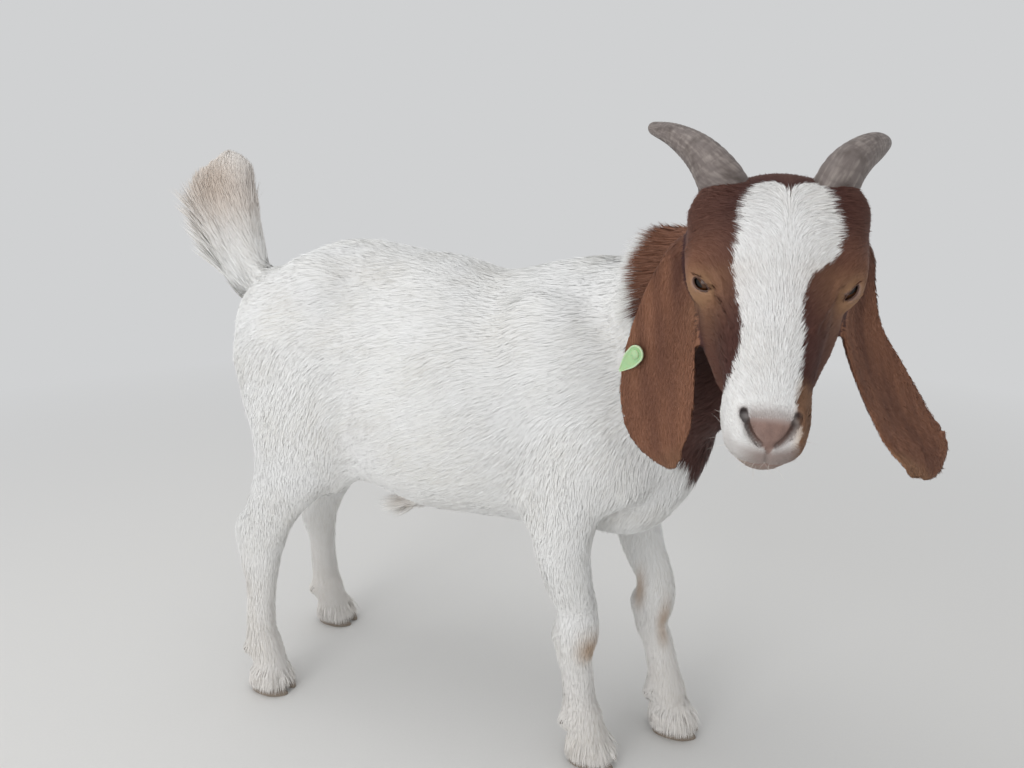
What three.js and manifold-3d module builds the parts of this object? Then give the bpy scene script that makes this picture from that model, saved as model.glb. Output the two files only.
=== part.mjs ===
// A young Boer goat buck at life size, standing still with its neck bent to its right.
// Millimetres: +X from tail to chest, +Y to the goat's left, +Z up, soles on z = 0.
// The flesh is one blended form of tapered sweeps and ellipsoids, out to the tips of the coat.
// Each fleshy part is that form, meshed inside its own region and parted by thin plane cuts.
import * as THREE from 'three';
import { mergeVertices } from 'three/addons/utils/BufferGeometryUtils.js';
import Module from 'manifold-3d';

const wasm = await Module();
wasm.setup();

// ---------- driving sizes ----------

const gap = 0.3; // air between two neighbouring parts
const cutClearance = 0.45; // growth of a form that a neighbour is cut by, a little over the gap at its edges
const reach = 1500; // half size of the cutting boxes, well past the whole animal
const sides = { right: -1, left: 1 };

const hipWidth = 66; // thigh root, from the middle plane
const shoulderWidth = 74; // upper arm root, from the middle plane
const eyeRadius = 14;
const eyePlace = [4, 45, 2]; // in the head's frame, left eye

const hindLegs = {
  right: { stifle: [-120, -86, 360], hock: [-248, -76, 214], fetlock: [-254, -80, 66], hoof: [-242, -81, 0] },
  left: { stifle: [-130, 86, 360], hock: [-264, 72, 213], fetlock: [-272, 88, 64], hoof: [-260, 95, 0] },
};
const foreLegs = {
  right: { elbow: [152, -82, 318], knee: [177, -62, 178], fetlock: [186, -50, 62], hoof: [199, -46, 0] },
  left: { elbow: [190, 78, 318], knee: [240, 54, 170], fetlock: [265, 47, 58], hoof: [280, 44, 0] },
};

// The head's frame: origin midway between the eyes, x to the muzzle, y to the goat's left, z to the brow.
const headOrigin = new THREE.Vector3(370, -200, 594);
const headTurn = THREE.MathUtils.degToRad(82); // from straight ahead to the goat's right
const faceSlope = THREE.MathUtils.degToRad(41); // face line, forward from hanging straight down
const headTilt = THREE.MathUtils.degToRad(-1);

// ---------- head frame ----------

function makeHeadFrame() {
  const ahead = new THREE.Vector3(Math.cos(headTurn), -Math.sin(headTurn), 0);
  const left = new THREE.Vector3(Math.sin(headTurn), Math.cos(headTurn), 0);
  const up = new THREE.Vector3(0, 0, 1);
  const muzzle = ahead.clone().multiplyScalar(Math.sin(faceSlope)).addScaledVector(up, -Math.cos(faceSlope));
  const brow = ahead.clone().multiplyScalar(Math.cos(faceSlope)).addScaledVector(up, Math.sin(faceSlope));
  const turned = new THREE.Matrix4().makeRotationAxis(brow, headTilt);
  muzzle.applyMatrix4(turned);
  left.applyMatrix4(turned);
  return new THREE.Matrix4().makeBasis(muzzle, left, brow).setPosition(headOrigin);
}

const headFrame = makeHeadFrame();
const headInverse = headFrame.clone().invert();
const headLeft = new THREE.Vector3().setFromMatrixColumn(headFrame, 1).toArray();

function headPoint(local) {
  return new THREE.Vector3(...local).applyMatrix4(headFrame);
}

// ---------- shapes as distance functions ----------

// Signed distance, close to the surface, of an ellipsoid or (power above 2) a squarer one.
function ellipsoidDistance(x, y, z, a, b, c, power) {
  const u = Math.abs(x / a);
  const v = Math.abs(y / b);
  const w = Math.abs(z / c);
  const round = Math.hypot(u, v, w) + 1e-6;
  const level = power === 2 ? round : (u ** power + v ** power + w ** power) ** (1 / power);
  return ((level - 1) * round) / (Math.hypot(u / a, v / b, w / c) + 1e-9);
}

// Stations are [x, y, z, half width, half depth, cup]; two curves carry the centre and the sizes.
function sampleStations(stations, steps) {
  const centre = stations.map((s) => new THREE.Vector3(s[0], s[1], s[2]));
  const size = stations.map((s) => new THREE.Vector3(s[3], s[4], s[5] ?? 0));
  const path = new THREE.CatmullRomCurve3(centre, false, 'catmullrom', 0.5);
  const girth = new THREE.CatmullRomCurve3(size, false, 'catmullrom', 0.5);
  const count = steps * (stations.length - 1);
  return Array.from({ length: count + 1 }, (_, i) => ({
    at: path.getPoint(i / count),
    size: girth.getPoint(i / count),
  }));
}

// A limb: an ellipse carried along its stations. width gives the direction of the half widths.
function sweep(stations, { width = [[0, 1, 0]], blend = 12, power = 2, steps = 4 } = {}) {
  const samples = sampleStations(stations, steps);
  const widthAt = (i) => {
    const place = ((width.length - 1) * i) / (samples.length - 1);
    const from = Math.min(Math.floor(place), width.length - 1);
    const to = Math.min(from + 1, width.length - 1);
    return new THREE.Vector3(...width[from]).lerp(new THREE.Vector3(...width[to]), place - from);
  };
  const pieces = samples.slice(0, -1).map((start, i) => {
    const end = samples[i + 1];
    const along = end.at.clone().sub(start.at);
    const length = along.length();
    along.normalize();
    const across = widthAt(i).add(widthAt(i + 1));
    across.addScaledVector(along, -across.dot(along)).normalize();
    const through = along.clone().cross(across);
    return { from: start.at, along, across, through, length, start: start.size, end: end.size };
  });
  const box = new THREE.Box3();
  for (const { at, size } of samples) {
    const radius = Math.max(size.x, size.y);
    box.expandByPoint(at.clone().addScalar(radius));
    box.expandByPoint(at.clone().addScalar(-radius));
  }
  const toPoint = new THREE.Vector3();
  function distance(point) {
    let nearest = Infinity;
    let value = 0;
    for (const piece of pieces) {
      toPoint.subVectors(point, piece.from);
      const run = toPoint.dot(piece.along);
      const share = Math.min(Math.max(run / piece.length, 0), 1);
      const past = run - share * piece.length;
      const x = toPoint.dot(piece.across);
      const y = toPoint.dot(piece.through);
      const away = Math.hypot(x, y, past);
      if (away >= nearest) continue; // the piece with the nearest centre line gives the value
      nearest = away;
      const a = piece.start.x + (piece.end.x - piece.start.x) * share;
      const b = piece.start.y + (piece.end.y - piece.start.y) * share;
      value = ellipsoidDistance(x, y, past, a, b, Math.min(a, b), power);
    }
    return value;
  }
  return { box, blend, distance };
}

// A muscle or bony point: an ellipsoid, leant about the y axis by lean degrees.
function mound(centre, radii, { lean = 0, blend = 12 } = {}) {
  const middle = new THREE.Vector3(...centre);
  const cos = Math.cos(THREE.MathUtils.degToRad(lean));
  const sin = Math.sin(THREE.MathUtils.degToRad(lean));
  const radius = Math.max(...radii);
  const box = new THREE.Box3().setFromCenterAndSize(middle, new THREE.Vector3().setScalar(2 * radius));
  function distance(point) {
    const x = point.x - middle.x;
    const z = point.z - middle.z;
    return ellipsoidDistance(cos * x + sin * z, point.y - middle.y, cos * z - sin * x, ...radii, 2);
  }
  return { box, blend, distance };
}

function inHead(shape) {
  const local = new THREE.Vector3();
  const box = shape.box.clone().applyMatrix4(headFrame);
  return { ...shape, box, distance: (point) => shape.distance(local.copy(point).applyMatrix4(headInverse)) };
}

// All shapes blended in turn.
function blended(shapes) {
  const ready = shapes.map((shape) => ({ ...shape, box: shape.box.clone().expandByScalar(shape.blend + 12) }));
  return (point) => {
    let value = 1000;
    for (const shape of ready) {
      if (!shape.box.containsPoint(point)) continue;
      const other = shape.distance(point);
      const mix = Math.max(shape.blend - Math.abs(value - other), 0) / shape.blend;
      value = Math.min(value, other) - (mix * mix * shape.blend) / 4;
    }
    return value;
  };
}

// ---------- the flesh ----------

// Trunk stations: x, back height, belly height, half width.
const trunkLine = [
  [-228, 554, 462, 50],
  [-192, 578, 414, 82],
  [-130, 591, 355, 98],
  [-60, 587, 299, 110],
  [0, 579, 279, 118],
  [60, 565, 281, 117],
  [120, 565, 283, 104],
  [175, 566, 282, 90],
  [212, 526, 294, 76],
  [236, 464, 304, 60],
];

function trunkShapes() {
  const barrel = trunkLine.map(([x, back, belly, half]) => [x, 0, (back + belly) / 2, half, (back - belly) / 2]);
  const shapes = [
    sweep(barrel, { blend: 20, power: 2.25 }),
    // backbone: croup, hips, loin, dip behind the withers, withers
    sweep([[-215, 0, 534, 34, 22], [-140, 0, 572, 44, 26], [-40, 0, 560, 46, 22],
      [50, 0, 538, 40, 20], [115, 0, 544, 32, 24], [175, 0, 552, 30, 26]], { blend: 45 }),
  ];
  for (const side of Object.values(sides)) {
    shapes.push(
      mound([-172, side * 62, 455], [84, 44, 112], { lean: 22, blend: 40 }), // haunch
      mound([-138, side * 64, 556], [34, 24, 26], { blend: 40 }), // hip point
      mound([-230, side * 50, 492], [26, 24, 34], { blend: 30 }), // pin bone
      mound([168, side * 70, 450], [54, 28, 108], { lean: 17.5, blend: 40 }), // shoulder blade
      mound([214, side * 66, 388], [46, 32, 52], { blend: 35 }), // point of the shoulder
    );
  }
  shapes.push(
    // breastbone and brisket
    sweep([[120, 0, 326, 44, 30], [190, 0, 316, 48, 36], [228, 0, 322, 44, 38], [248, 0, 345, 38, 34]], { blend: 40 }),
    // sheath
    sweep([[-40, 0, 281, 18, 12], [-62, 0, 272, 14, 10], [-76, 0, 268, 9, 8]], { blend: 18 }),
  );
  for (const side of Object.values(sides)) {
    // fold of skin from the flank to the stifle
    shapes.push(sweep([[-95, side * 78, 400, 16, 20], [-112, side * 76, 345, 14, 22],
      [-138, side * 66, 310, 12, 20]], { blend: 40 }));
  }
  return shapes;
}

// The foot is the same on all legs: fetlock, pastern, coronet.
function footStations([fx, fy, fz], [hx, hy]) {
  return [
    [fx, fy, fz, 21.5, 25.5],
    [fx + 7, fy, fz - 22, 21, 24],
    [hx - 2, hy, 24, 23, 26],
    [hx, hy, 12, 24, 27],
  ];
}

function hindLegShapes(side, { stifle, hock, fetlock, hoof }) {
  const [sx, sy, sz] = stifle;
  const [hx, hy, hz] = hock;
  const [fx, fy, fz] = fetlock;
  return [
    sweep([
      [-178, side * hipWidth, 470, 46, 86], // thigh root
      [sx - 42, sy - side * 4, sz + 35, 44, 80], // thigh
      [sx - 60, sy, sz - 28, 36, 54], // below the stifle
      [(sx + hx) / 2 - 28, (sy + hy) / 2, (sz + hz) / 2 - 6, 27, 38], // gaskin
      [hx + 2, hy, hz + 12, 22, 33], // hock
    ], { blend: 22 }),
    sweep([[hx - 22, hy, hz + 26, 10, 11], [hx - 24, hy, hz + 6, 13, 15], [hx - 10, hy, hz - 34, 15, 20]],
      { blend: 14 }), // heel bone
    sweep([
      [hx + 6, hy, hz + 14, 22, 31],
      [hx, hy, hz - 24, 20, 27], // below the hock
      [(hx + fx) / 2 - 2, (hy + fy) / 2, (hz + fz) / 2, 17, 21.5], // cannon
      [fx - 2, fy, fz + 22, 18, 22],
      ...footStations(fetlock, hoof),
    ]),
  ];
}

function foreLegShapes(side, { elbow, knee, fetlock, hoof }) {
  const [ex, ey, ez] = elbow;
  const [kx, ky, kz] = knee;
  const [fx, fy, fz] = fetlock;
  return [
    sweep([
      [ex + 34, side * shoulderWidth, ez + 92, 32, 54], // upper arm
      [ex + 22, ey, ez + 24, 31, 40], // elbow
      [ex + 17, ey, ez - 30, 27, 33], // forearm
      [(ex + kx) / 2 + 10, (ey + ky) / 2, (ez + kz) / 2 - 10, 22, 28],
      [kx + 4, ky, kz + 30, 21, 24],
      [kx + 5, ky, kz, 23.5, 26], // knee
      [kx + 2, ky, kz - 32, 18.5, 22],
      [(kx + fx) / 2, (ky + fy) / 2, (kz + fz) / 2, 17, 20], // cannon
      [fx - 3, fy, fz + 20, 18, 21],
      ...footStations(fetlock, hoof),
    ], { blend: 18 }),
    mound([ex - 14, ey, ez + 10], [16, 13, 22], { blend: 22 }), // point of the elbow
    mound([kx - 15, ky, kz - 8], [10, 11, 13]), // bone behind the knee
  ];
}

function neckShapes() {
  return [
    // the bend brings the neck from the shoulders round to the back of the head
    sweep([[160, 0, 480, 66, 92], [218, -8, 490, 64, 98], [268, -38, 520, 56, 88],
      [312, -80, 566, 50, 73], [348, -124, 606, 46, 57]],
    { width: [[0, 1, 0], [0.35, 0.93, 0], headLeft], blend: 40 }),
    // windpipe and throat
    sweep([[252, -26, 420, 40, 36], [286, -50, 452, 38, 38], [318, -92, 492, 38, 42], [348, -132, 540, 36, 38]],
      { width: [[0.6, 0.8, 0]], blend: 40 }),
  ];
}

function tailShapes() {
  return [sweep([[-240, 0, 524, 28, 32], [-288, 0, 546, 28, 36], [-314, 0, 602, 27, 42],
    [-322, 0, 650, 28, 51], [-305, 0, 684, 22, 31]], { blend: 22 })];
}

function headShapes() {
  const shapes = [
    // skull and face: poll, temples, brow, bridge of the nose, muzzle
    sweep([[-61, 0, -9, 46, 32], [-35, 0, -2, 52, 38], [0, 0, 0, 52, 38], [40, 0, -1, 40, 33],
      [80, 0, -5, 31, 28], [108, 0, -10, 26.5, 22], [120, 0, -13, 23, 17]], { blend: 16, power: 2.3 }),
    // lower jaw, from its angle to the chin
    sweep([[-45, 0, -46, 34, 34], [0, 0, -48, 36, 30], [40, 0, -45, 31, 24], [80, 0, -40, 24, 18],
      [108, 0, -38, 19.5, 14], [122, 0, -37, 15, 12]], { blend: 20, power: 2.2 }),
    mound([-36, 0, 16], [44, 50, 18], { blend: 25 }), // forehead
  ];
  for (const side of Object.values(sides)) {
    shapes.push(
      mound([-2, side * 36, -38], [42, 17, 36], { blend: 20 }), // chewing muscle
      mound([36, side * 27, -38], [34, 12, 22], { blend: 18 }), // cheek
      mound([-4, side * 47, 8], [24, 14, 16], { blend: 14 }), // rim of the eye socket
      mound([-28, side * 46, -6], [30, 17, 26], { blend: 18 }), // cheekbone arch
      mound([106, side * 14, -18], [22, 13.5, 17], { blend: 14 }), // upper lip
      mound([-58, side * 44, 6], [22, 20, 26], { blend: 18 }), // ear and horn base
    );
  }
  shapes.push(mound([122, 0, -11], [13, 21, 13])); // nose
  return shapes.map(inHead);
}

const flesh = blended([
  ...trunkShapes(),
  ...Object.entries(hindLegs).flatMap(([name, leg]) => hindLegShapes(sides[name], leg)),
  ...Object.entries(foreLegs).flatMap(([name, leg]) => foreLegShapes(sides[name], leg)),
  ...neckShapes(),
  ...tailShapes(),
  ...headShapes(),
]);

// ---------- from distance function to closed mesh ----------

function slopeOf(field, point) {
  const step = 0.5;
  const shifted = point.clone();
  const slope = new THREE.Vector3();
  for (const axis of ['x', 'y', 'z']) {
    shifted.copy(point)[axis] += step;
    const ahead = field(shifted);
    shifted[axis] -= 2 * step;
    slope[axis] = (ahead - field(shifted)) / (2 * step);
  }
  return slope;
}

// Moves a vertex onto the surface where the field equals level.
function settle(field, point, level) {
  for (let round = 0; round < 3; round += 1) {
    const slope = slopeOf(field, point);
    const steep = Math.max(slope.lengthSq(), 0.2);
    const move = slope.multiplyScalar((level - field(point)) / steep);
    point.add(move.clampLength(0, 4));
  }
}

// Surface nets: one vertex in each cell that the surface crosses, one quad over each crossed edge.
function meshField(field, low, high, cell, level, grow) {
  const size = low.map((value, axis) => Math.ceil((high[axis] - value) / cell[axis]) + 1);
  const stride = [1, size[0], size[0] * size[1]];
  const values = new Float64Array(size[0] * size[1] * size[2]);
  const corner = new THREE.Vector3();
  const cornerAt = (i, j, k) => corner.set(low[0] + i * cell[0], low[1] + j * cell[1], low[2] + k * cell[2]);
  const edge = (n, axis) => n === 0 || n === size[axis] - 1;
  const indexOf = (i, j, k) => i + j * stride[1] + k * stride[2];
  for (let k = 0; k < size[2]; k += 1) {
    for (let j = 0; j < size[1]; j += 1) {
      for (let i = 0; i < size[0]; i += 1) {
        const onBorder = edge(i, 0) || edge(j, 1) || edge(k, 2);
        const value = field(cornerAt(i, j, k)) - level;
        values[indexOf(i, j, k)] = onBorder ? Math.max(value, 0.5) : value;
      }
    }
  }
  const positions = [];
  const vertexOf = new Map();
  const triangles = [];
  function vertexIn(i, j, k) {
    const key = indexOf(i, j, k);
    if (vertexOf.has(key)) return vertexOf.get(key);
    const sum = new THREE.Vector3();
    let crossings = 0;
    for (let axis = 0; axis < 3; axis += 1) {
      for (let n = 0; n < 4; n += 1) {
        const start = [i, j, k];
        start[(axis + 1) % 3] += n & 1;
        start[(axis + 2) % 3] += n >> 1;
        const a = values[indexOf(...start)];
        const b = values[indexOf(...start) + stride[axis]];
        if (a < 0 === b < 0) continue;
        const at = cornerAt(...start).clone();
        at.setComponent(axis, at.getComponent(axis) + (cell[axis] * a) / (a - b));
        sum.add(at);
        crossings += 1;
      }
    }
    sum.divideScalar(crossings);
    settle(field, sum, level);
    sum.addScaledVector(slopeOf(field, sum).normalize(), grow);
    vertexOf.set(key, positions.length / 3);
    positions.push(sum.x, sum.y, sum.z);
    return vertexOf.get(key);
  }
  for (let k = 0; k < size[2] - 1; k += 1) {
    for (let j = 0; j < size[1] - 1; j += 1) {
      for (let i = 0; i < size[0] - 1; i += 1) {
        for (let axis = 0; axis < 3; axis += 1) {
          const here = values[indexOf(i, j, k)] < 0;
          if (here === values[indexOf(i, j, k) + stride[axis]] < 0) continue;
          const back = (du, dv) => {
            const at = [i, j, k];
            at[(axis + 1) % 3] -= du;
            at[(axis + 2) % 3] -= dv;
            return vertexIn(...at);
          };
          const quad = [back(1, 1), back(0, 1), back(0, 0), back(1, 0)];
          const [a, b, c, d] = here ? quad : quad.reverse();
          triangles.push(a, b, c, a, c, d);
        }
      }
    }
  }
  return new wasm.Manifold(new wasm.Mesh({
    numProp: 3, vertProperties: new Float32Array(positions), triVerts: new Uint32Array(triangles),
  }));
}

// ---------- solids from geometries ----------

function solidFrom(geometry) {
  const bare = new THREE.BufferGeometry().setAttribute('position', geometry.getAttribute('position'));
  bare.setIndex(geometry.index);
  const merged = mergeVertices(bare, 1e-3);
  return new wasm.Manifold(new wasm.Mesh({
    numProp: 3, vertProperties: merged.attributes.position.array, triVerts: new Uint32Array(merged.index.array),
  }));
}

// A horn, ear or claw: rings along the stations, closed at both ends. cup bends the ring's flanks back.
function loft(stations, width, ringCount, steps) {
  const samples = sampleStations(stations, steps);
  const positions = [];
  const last = samples.length - 1;
  samples.forEach(({ at, size }, i) => {
    const along = samples[Math.min(i + 1, last)].at.clone().sub(samples[Math.max(i - 1, 0)].at).normalize();
    const across = new THREE.Vector3(...width);
    across.addScaledVector(along, -across.dot(along)).normalize();
    const through = along.clone().cross(across);
    for (let n = 0; n < ringCount; n += 1) {
      const turn = (2 * Math.PI * n) / ringCount;
      const bend = size.z * Math.cos(turn) ** 2;
      const point = at.clone().addScaledVector(across, size.x * Math.cos(turn));
      point.addScaledVector(through, size.y * Math.sin(turn) + bend);
      positions.push(...point);
    }
  });
  positions.push(...samples[0].at, ...samples[last].at);
  const foot = samples.length * ringCount;
  const faces = [];
  for (let n = 0; n < ringCount; n += 1) {
    const next = (n + 1) % ringCount;
    for (let i = 0; i < last; i += 1) {
      const a = i * ringCount;
      const b = a + ringCount;
      faces.push(a + n, a + next, b + next, a + n, b + next, b + n);
    }
    faces.push(foot, next, n, foot + 1, last * ringCount + n, last * ringCount + next);
  }
  const geometry = new THREE.BufferGeometry();
  geometry.setAttribute('position', new THREE.Float32BufferAttribute(positions, 3));
  geometry.setIndex(faces);
  return solidFrom(geometry);
}

// Everything on the side of the plane that the normal points to, from inset past the plane.
function halfSpace(point, normal, inset) {
  const direction = new THREE.Vector3(...normal).normalize();
  const box = new THREE.BoxGeometry(2 * reach, 2 * reach, 2 * reach);
  box.translate(0, 0, reach + inset);
  box.applyQuaternion(new THREE.Quaternion().setFromUnitVectors(new THREE.Vector3(0, 0, 1), direction));
  box.translate(...point);
  return solidFrom(box);
}

// A region is a list of [point, normal] planes; grown by less than nothing it shrinks.
function regionSolid(planes, grow) {
  return planes.map(([point, normal]) => halfSpace(point, normal, -grow)).reduce((a, b) => a.intersect(b));
}

// ---------- regions ----------

const regions = {
  head: [[[352, -135, 590], [0.1, -1, 0]]],
  neck: [[[244, -18, 470], [0.8, -0.42, 0.42]]],
  tail: [[[-268, 0, 558], [-0.62, 0, 0.78]]],
};
const hindLegTop = 392;
const foreLegTop = 338;
for (const [name, side] of Object.entries(sides)) {
  const hock = hindLegs[name].hock;
  const knee = foreLegs[name].knee;
  regions[`leg_hind_${name}_upper`] = [
    [[-185, side * 60, hindLegTop], [-0.42, side * 0.25, -0.87]],
    [[-84, 0, 0], [-1, 0, 0]],
    [[0, side * 6, 0], [0, side, 0]],
    [[0, 0, hock[2] - 38], [0, 0, 1]],
  ];
  regions[`leg_hind_${name}_lower`] = [
    [[0, 0, hock[2] - 38], [0, 0, -1]],
    [[-84, 0, 0], [-1, 0, 0]],
    [[0, side * 6, 0], [0, side, 0]],
  ];
  regions[`leg_front_${name}_upper`] = [
    [[0, 0, foreLegTop], [0, side * 0.2, -1]],
    [[112, 0, 0], [1, 0, 0]],
    [[0, side * 42, 300], [0, side, -0.25]],
    [[0, 0, knee[2] - 22], [0, 0, 1]],
  ];
  regions[`leg_front_${name}_lower`] = [
    [[0, 0, knee[2] - 22], [0, 0, -1]],
    [[112, 0, 0], [1, 0, 0]],
    [[0, side * 6, 0], [0, side, 0]],
  ];
}

// The coronet is the sloping line where hair gives way to horn, high at the toe and low at the heel.
function coronet([hx, hy]) {
  return [[hx, hy, 22], [-0.2, 0, 0.98]];
}

// ---------- building ----------

const goat = new THREE.Group();
const palette = {
  white: { color: 0xece7dc, roughness: 0.9 },
  chestnut: { color: 0x7f4022, roughness: 0.85 },
  horn: { color: 0x7d766c, roughness: 0.6 },
  claw: { color: 0x3a2c22, roughness: 0.5 },
  eye: { color: 0x2a1a10, roughness: 0.1 },
  tag: { color: 0x9fd07c, roughness: 0.45 },
};
for (const [name, look] of Object.entries(palette)) {
  palette[name] = new THREE.MeshStandardMaterial({ ...look, metalness: 0 });
}

// The largest of the bodies that a cut leaves.
function largest(solid) {
  return solid.decompose().reduce((a, b) => (a.volume() > b.volume() ? a : b));
}

function addPart(name, solid, material) {
  const mesh = largest(solid).getMesh();
  const geometry = new THREE.BufferGeometry();
  geometry.setAttribute('position', new THREE.Float32BufferAttribute(mesh.vertProperties, 3));
  geometry.setIndex(Array.from(mesh.triVerts));
  geometry.computeVertexNormals();
  const part = new THREE.Mesh(geometry, material);
  part.name = name;
  goat.add(part);
}

// Boxes to mesh in and cell sizes for each fleshy part: small cells where the form is small.
const cells = {
  trunk: { low: [-300, -150, 235], high: [310, 150, 640], cell: [38, 34, 34] },
  neck: { low: [180, -190, 370], high: [420, 110, 700], cell: [29, 26, 29] },
  head: { low: [270, -330, 440], high: [460, -110, 700], cell: [13.8, 13, 13.8] },
  tail: { low: [-410, -50, 500], high: [-220, 50, 730], cell: [18, 15, 20] },
};
for (const [name, side] of Object.entries(sides)) {
  const { hoof: hindHoof, hock, stifle } = hindLegs[name];
  const { hoof: foreHoof, knee, elbow } = foreLegs[name];
  const spanY = (inner, outer) => [Math.min(side * inner, side * outer), Math.max(side * inner, side * outer)];
  const legBox = (x0, x1, [y0, y1], z0, z1, cell) => ({ low: [x0, y0, z0], high: [x1, y1, z1], cell });
  cells[`leg_hind_${name}_upper`] =
    legBox(-310, -70, spanY(0, 150), hock[2] - 60, stifle[2] + 130, [27, 22, 28]);
  cells[`leg_hind_${name}_lower`] =
    legBox(hock[0] - 50, hindHoof[0] + 50, spanY(20, 140), -12, hock[2] - 10, [13.5, 13, 22]);
  cells[`leg_front_${name}_upper`] =
    legBox(elbow[0] - 60, knee[0] + 90, spanY(10, 150), knee[2] - 45, elbow[2] + 70, [19, 17, 24]);
  cells[`leg_front_${name}_lower`] =
    legBox(knee[0] - 40, foreHoof[0] + 50, spanY(5, 110), -12, knee[2] + 10, [13.5, 13, 22]);
}

const coatLift = 0.6; // the flats of coarse faces stand this much outside the curve, to keep the girth true

function fleshSolid(name, grow = 0) {
  const { low, high, cell } = cells[name];
  return meshField(flesh, low, high, cell, coatLift, grow);
}

// Eyeball, the socket it sits in, and the slanting almond of the lids' opening.
const lidOpening = { at: [10, 63, 9], radii: [13, 12, 8] };
const eyes = {};
for (const [name, side] of Object.entries(sides)) {
  const [x, y, z] = eyePlace;
  const ball = (radius) => new THREE.SphereGeometry(radius, 12, 8).translate(x, side * y, z);
  const almond = new THREE.SphereGeometry(1, 10, 6).scale(...lidOpening.radii);
  almond.translate(lidOpening.at[0], side * lidOpening.at[1], lidOpening.at[2]);
  eyes[name] = {
    ball: solidFrom(ball(eyeRadius).applyMatrix4(headFrame)),
    socket: solidFrom(ball(eyeRadius + gap).applyMatrix4(headFrame)).add(solidFrom(almond.applyMatrix4(headFrame))),
  };
}

const headSolid = regionSolid(regions.head, -gap / 2)
  .intersect(fleshSolid('head'))
  .subtract(eyes.right.socket)
  .subtract(eyes.left.socket);
const headGrown = fleshSolid('head', cutClearance);
addPart('head', headSolid, palette.chestnut);
addPart('eye_right', eyes.right.ball, palette.eye);
addPart('eye_left', eyes.left.ball, palette.eye);

// Neck: past the shoulder cut and short of the head cut.
addPart('neck', fleshSolid('neck').intersect(regionSolid(regions.neck, -gap / 2))
  .subtract(regionSolid(regions.head, gap / 2)), palette.chestnut);
addPart('tail', fleshSolid('tail').intersect(regionSolid(regions.tail, -gap / 2)), palette.white);

// Trunk: what the other regions leave.
const upperLegs = Object.keys(regions).filter((name) => name.endsWith('_upper'));
const trunkCuts = ['neck', 'tail', ...upperLegs].map((name) => regionSolid(regions[name], gap / 2));
addPart('trunk', trunkCuts.reduce((rest, cut) => rest.subtract(cut), fleshSolid('trunk')), palette.white);

// Horns: base in the hair of the poll, then up, out and back to a blunt tip. The left one bends back more.
const hornStations = {
  right: [[-66, -37, 14, 20, 17], [-80, -47, 25, 18, 15.5], [-99, -62, 29, 14, 12.5], [-120, -82, 25, 9.5, 8.5],
    [-139, -101, 14, 5.5, 5], [-144, -105, 10, 3, 3]],
  left: [[-66, 37, 14, 20, 17], [-82, 44, 25, 18, 15.5], [-99, 55, 24, 15, 13], [-118, 68, 14, 11.5, 10],
    [-133, 78, 2, 6.5, 6], [-137, 81, -3, 3, 3]],
};
for (const [name, stations] of Object.entries(hornStations)) {
  const placed = stations.map(([x, y, z, ...size]) => [...headPoint([x, y, z]).toArray(), ...size]);
  const width = headPoint([0.6, sides[name] * -0.2, -0.6]).sub(headOrigin).toArray();
  addPart(`horn_${name}`, loft(placed, width, 12, 2).subtract(headGrown), palette.horn);
}

// Ears: a funnel at the root that opens into a long cupped leaf, hanging free.
const earStations = {
  right: [[322, -168, 624, 18, 14, 0], [306, -174, 608, 24, 10, 4], [297, -175, 583, 29, 6, 7],
    [291, -174, 550, 38, 4.5, 8], [287, -175, 510, 46, 4, 8], [285, -178, 475, 45, 4, 5],
    [288, -180, 452, 35, 3.6, 3], [295, -180, 437, 22, 3, 0], [299, -180, 430, 8, 2, 0]],
  left: [[414, -152, 622, 18, 14, 0], [424, -147, 606, 20, 10, -4], [425, -145, 582, 24, 6, -7],
    [431, -143, 548, 29, 4.5, -8], [450, -142, 510, 38, 4, -8], [472, -141, 478, 43, 4, -5],
    [490, -141, 458, 41, 3.6, -3], [496, -142, 444, 28, 3, 0], [497, -143, 437, 11, 2, 0]],
};
const earWidth = { right: [0.8, -0.6, 0], left: [-0.5, -0.86, 0] };
const ears = {};
for (const name of Object.keys(sides)) {
  ears[name] = loft(earStations[name], earWidth[name], 10, 1).subtract(headGrown);
}

// Ear tag: a small pointed flag on the outer face of the right ear, by its rear edge, pinned to a button behind.
const tag = {
  at: [264, -163, 523], // where the stem goes through the ear
  long: 24, // from the stem to the point
  round: 8, // radius of the end round the stem
  waist: 7.4, // half width where the point begins
  thick: 1.6,
  stand: 6, // from the middle of the ear to the plate
  stem: 2.2,
  button: 8,
  behind: 8.5, // from the middle of the ear to the button's back
};

function tagFrame() {
  const along = new THREE.Vector3(-0.69, 0.07, -0.72).normalize(); // to the pointed end, over the ear's edge
  const out = new THREE.Vector3(-0.38, -0.92, 0.06);
  out.addScaledVector(along, -out.dot(along)).normalize();
  const across = out.clone().cross(along);
  return new THREE.Matrix4().makeBasis(along, across, out).setPosition(...tag.at);
}

function tagPlate() {
  const outline = new THREE.Shape();
  outline.absarc(0, 0, tag.round, Math.PI / 2, Math.PI * 1.5, false);
  outline.lineTo(tag.long * 0.35, -tag.waist);
  outline.lineTo(tag.long - 1, -0.8);
  outline.lineTo(tag.long - 1, 0.8);
  outline.lineTo(tag.long * 0.35, tag.waist);
  const plate = new THREE.ExtrudeGeometry(outline, { depth: tag.thick, bevelEnabled: false, curveSegments: 10 });
  return solidFrom(plate.translate(0, 0, tag.stand).applyMatrix4(tagFrame()));
}

function tagButton() {
  const foot = -tag.behind;
  const top = tag.stand - gap;
  const profile = [[0, foot], [tag.button, foot], [tag.button, foot + tag.thick], [tag.stem, foot + tag.thick],
    [tag.stem, top], [0, top]];
  const turned = new THREE.LatheGeometry(profile.map(([r, z]) => new THREE.Vector2(r, z)), 12);
  return solidFrom(turned.rotateX(Math.PI / 2).applyMatrix4(tagFrame()));
}

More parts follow.
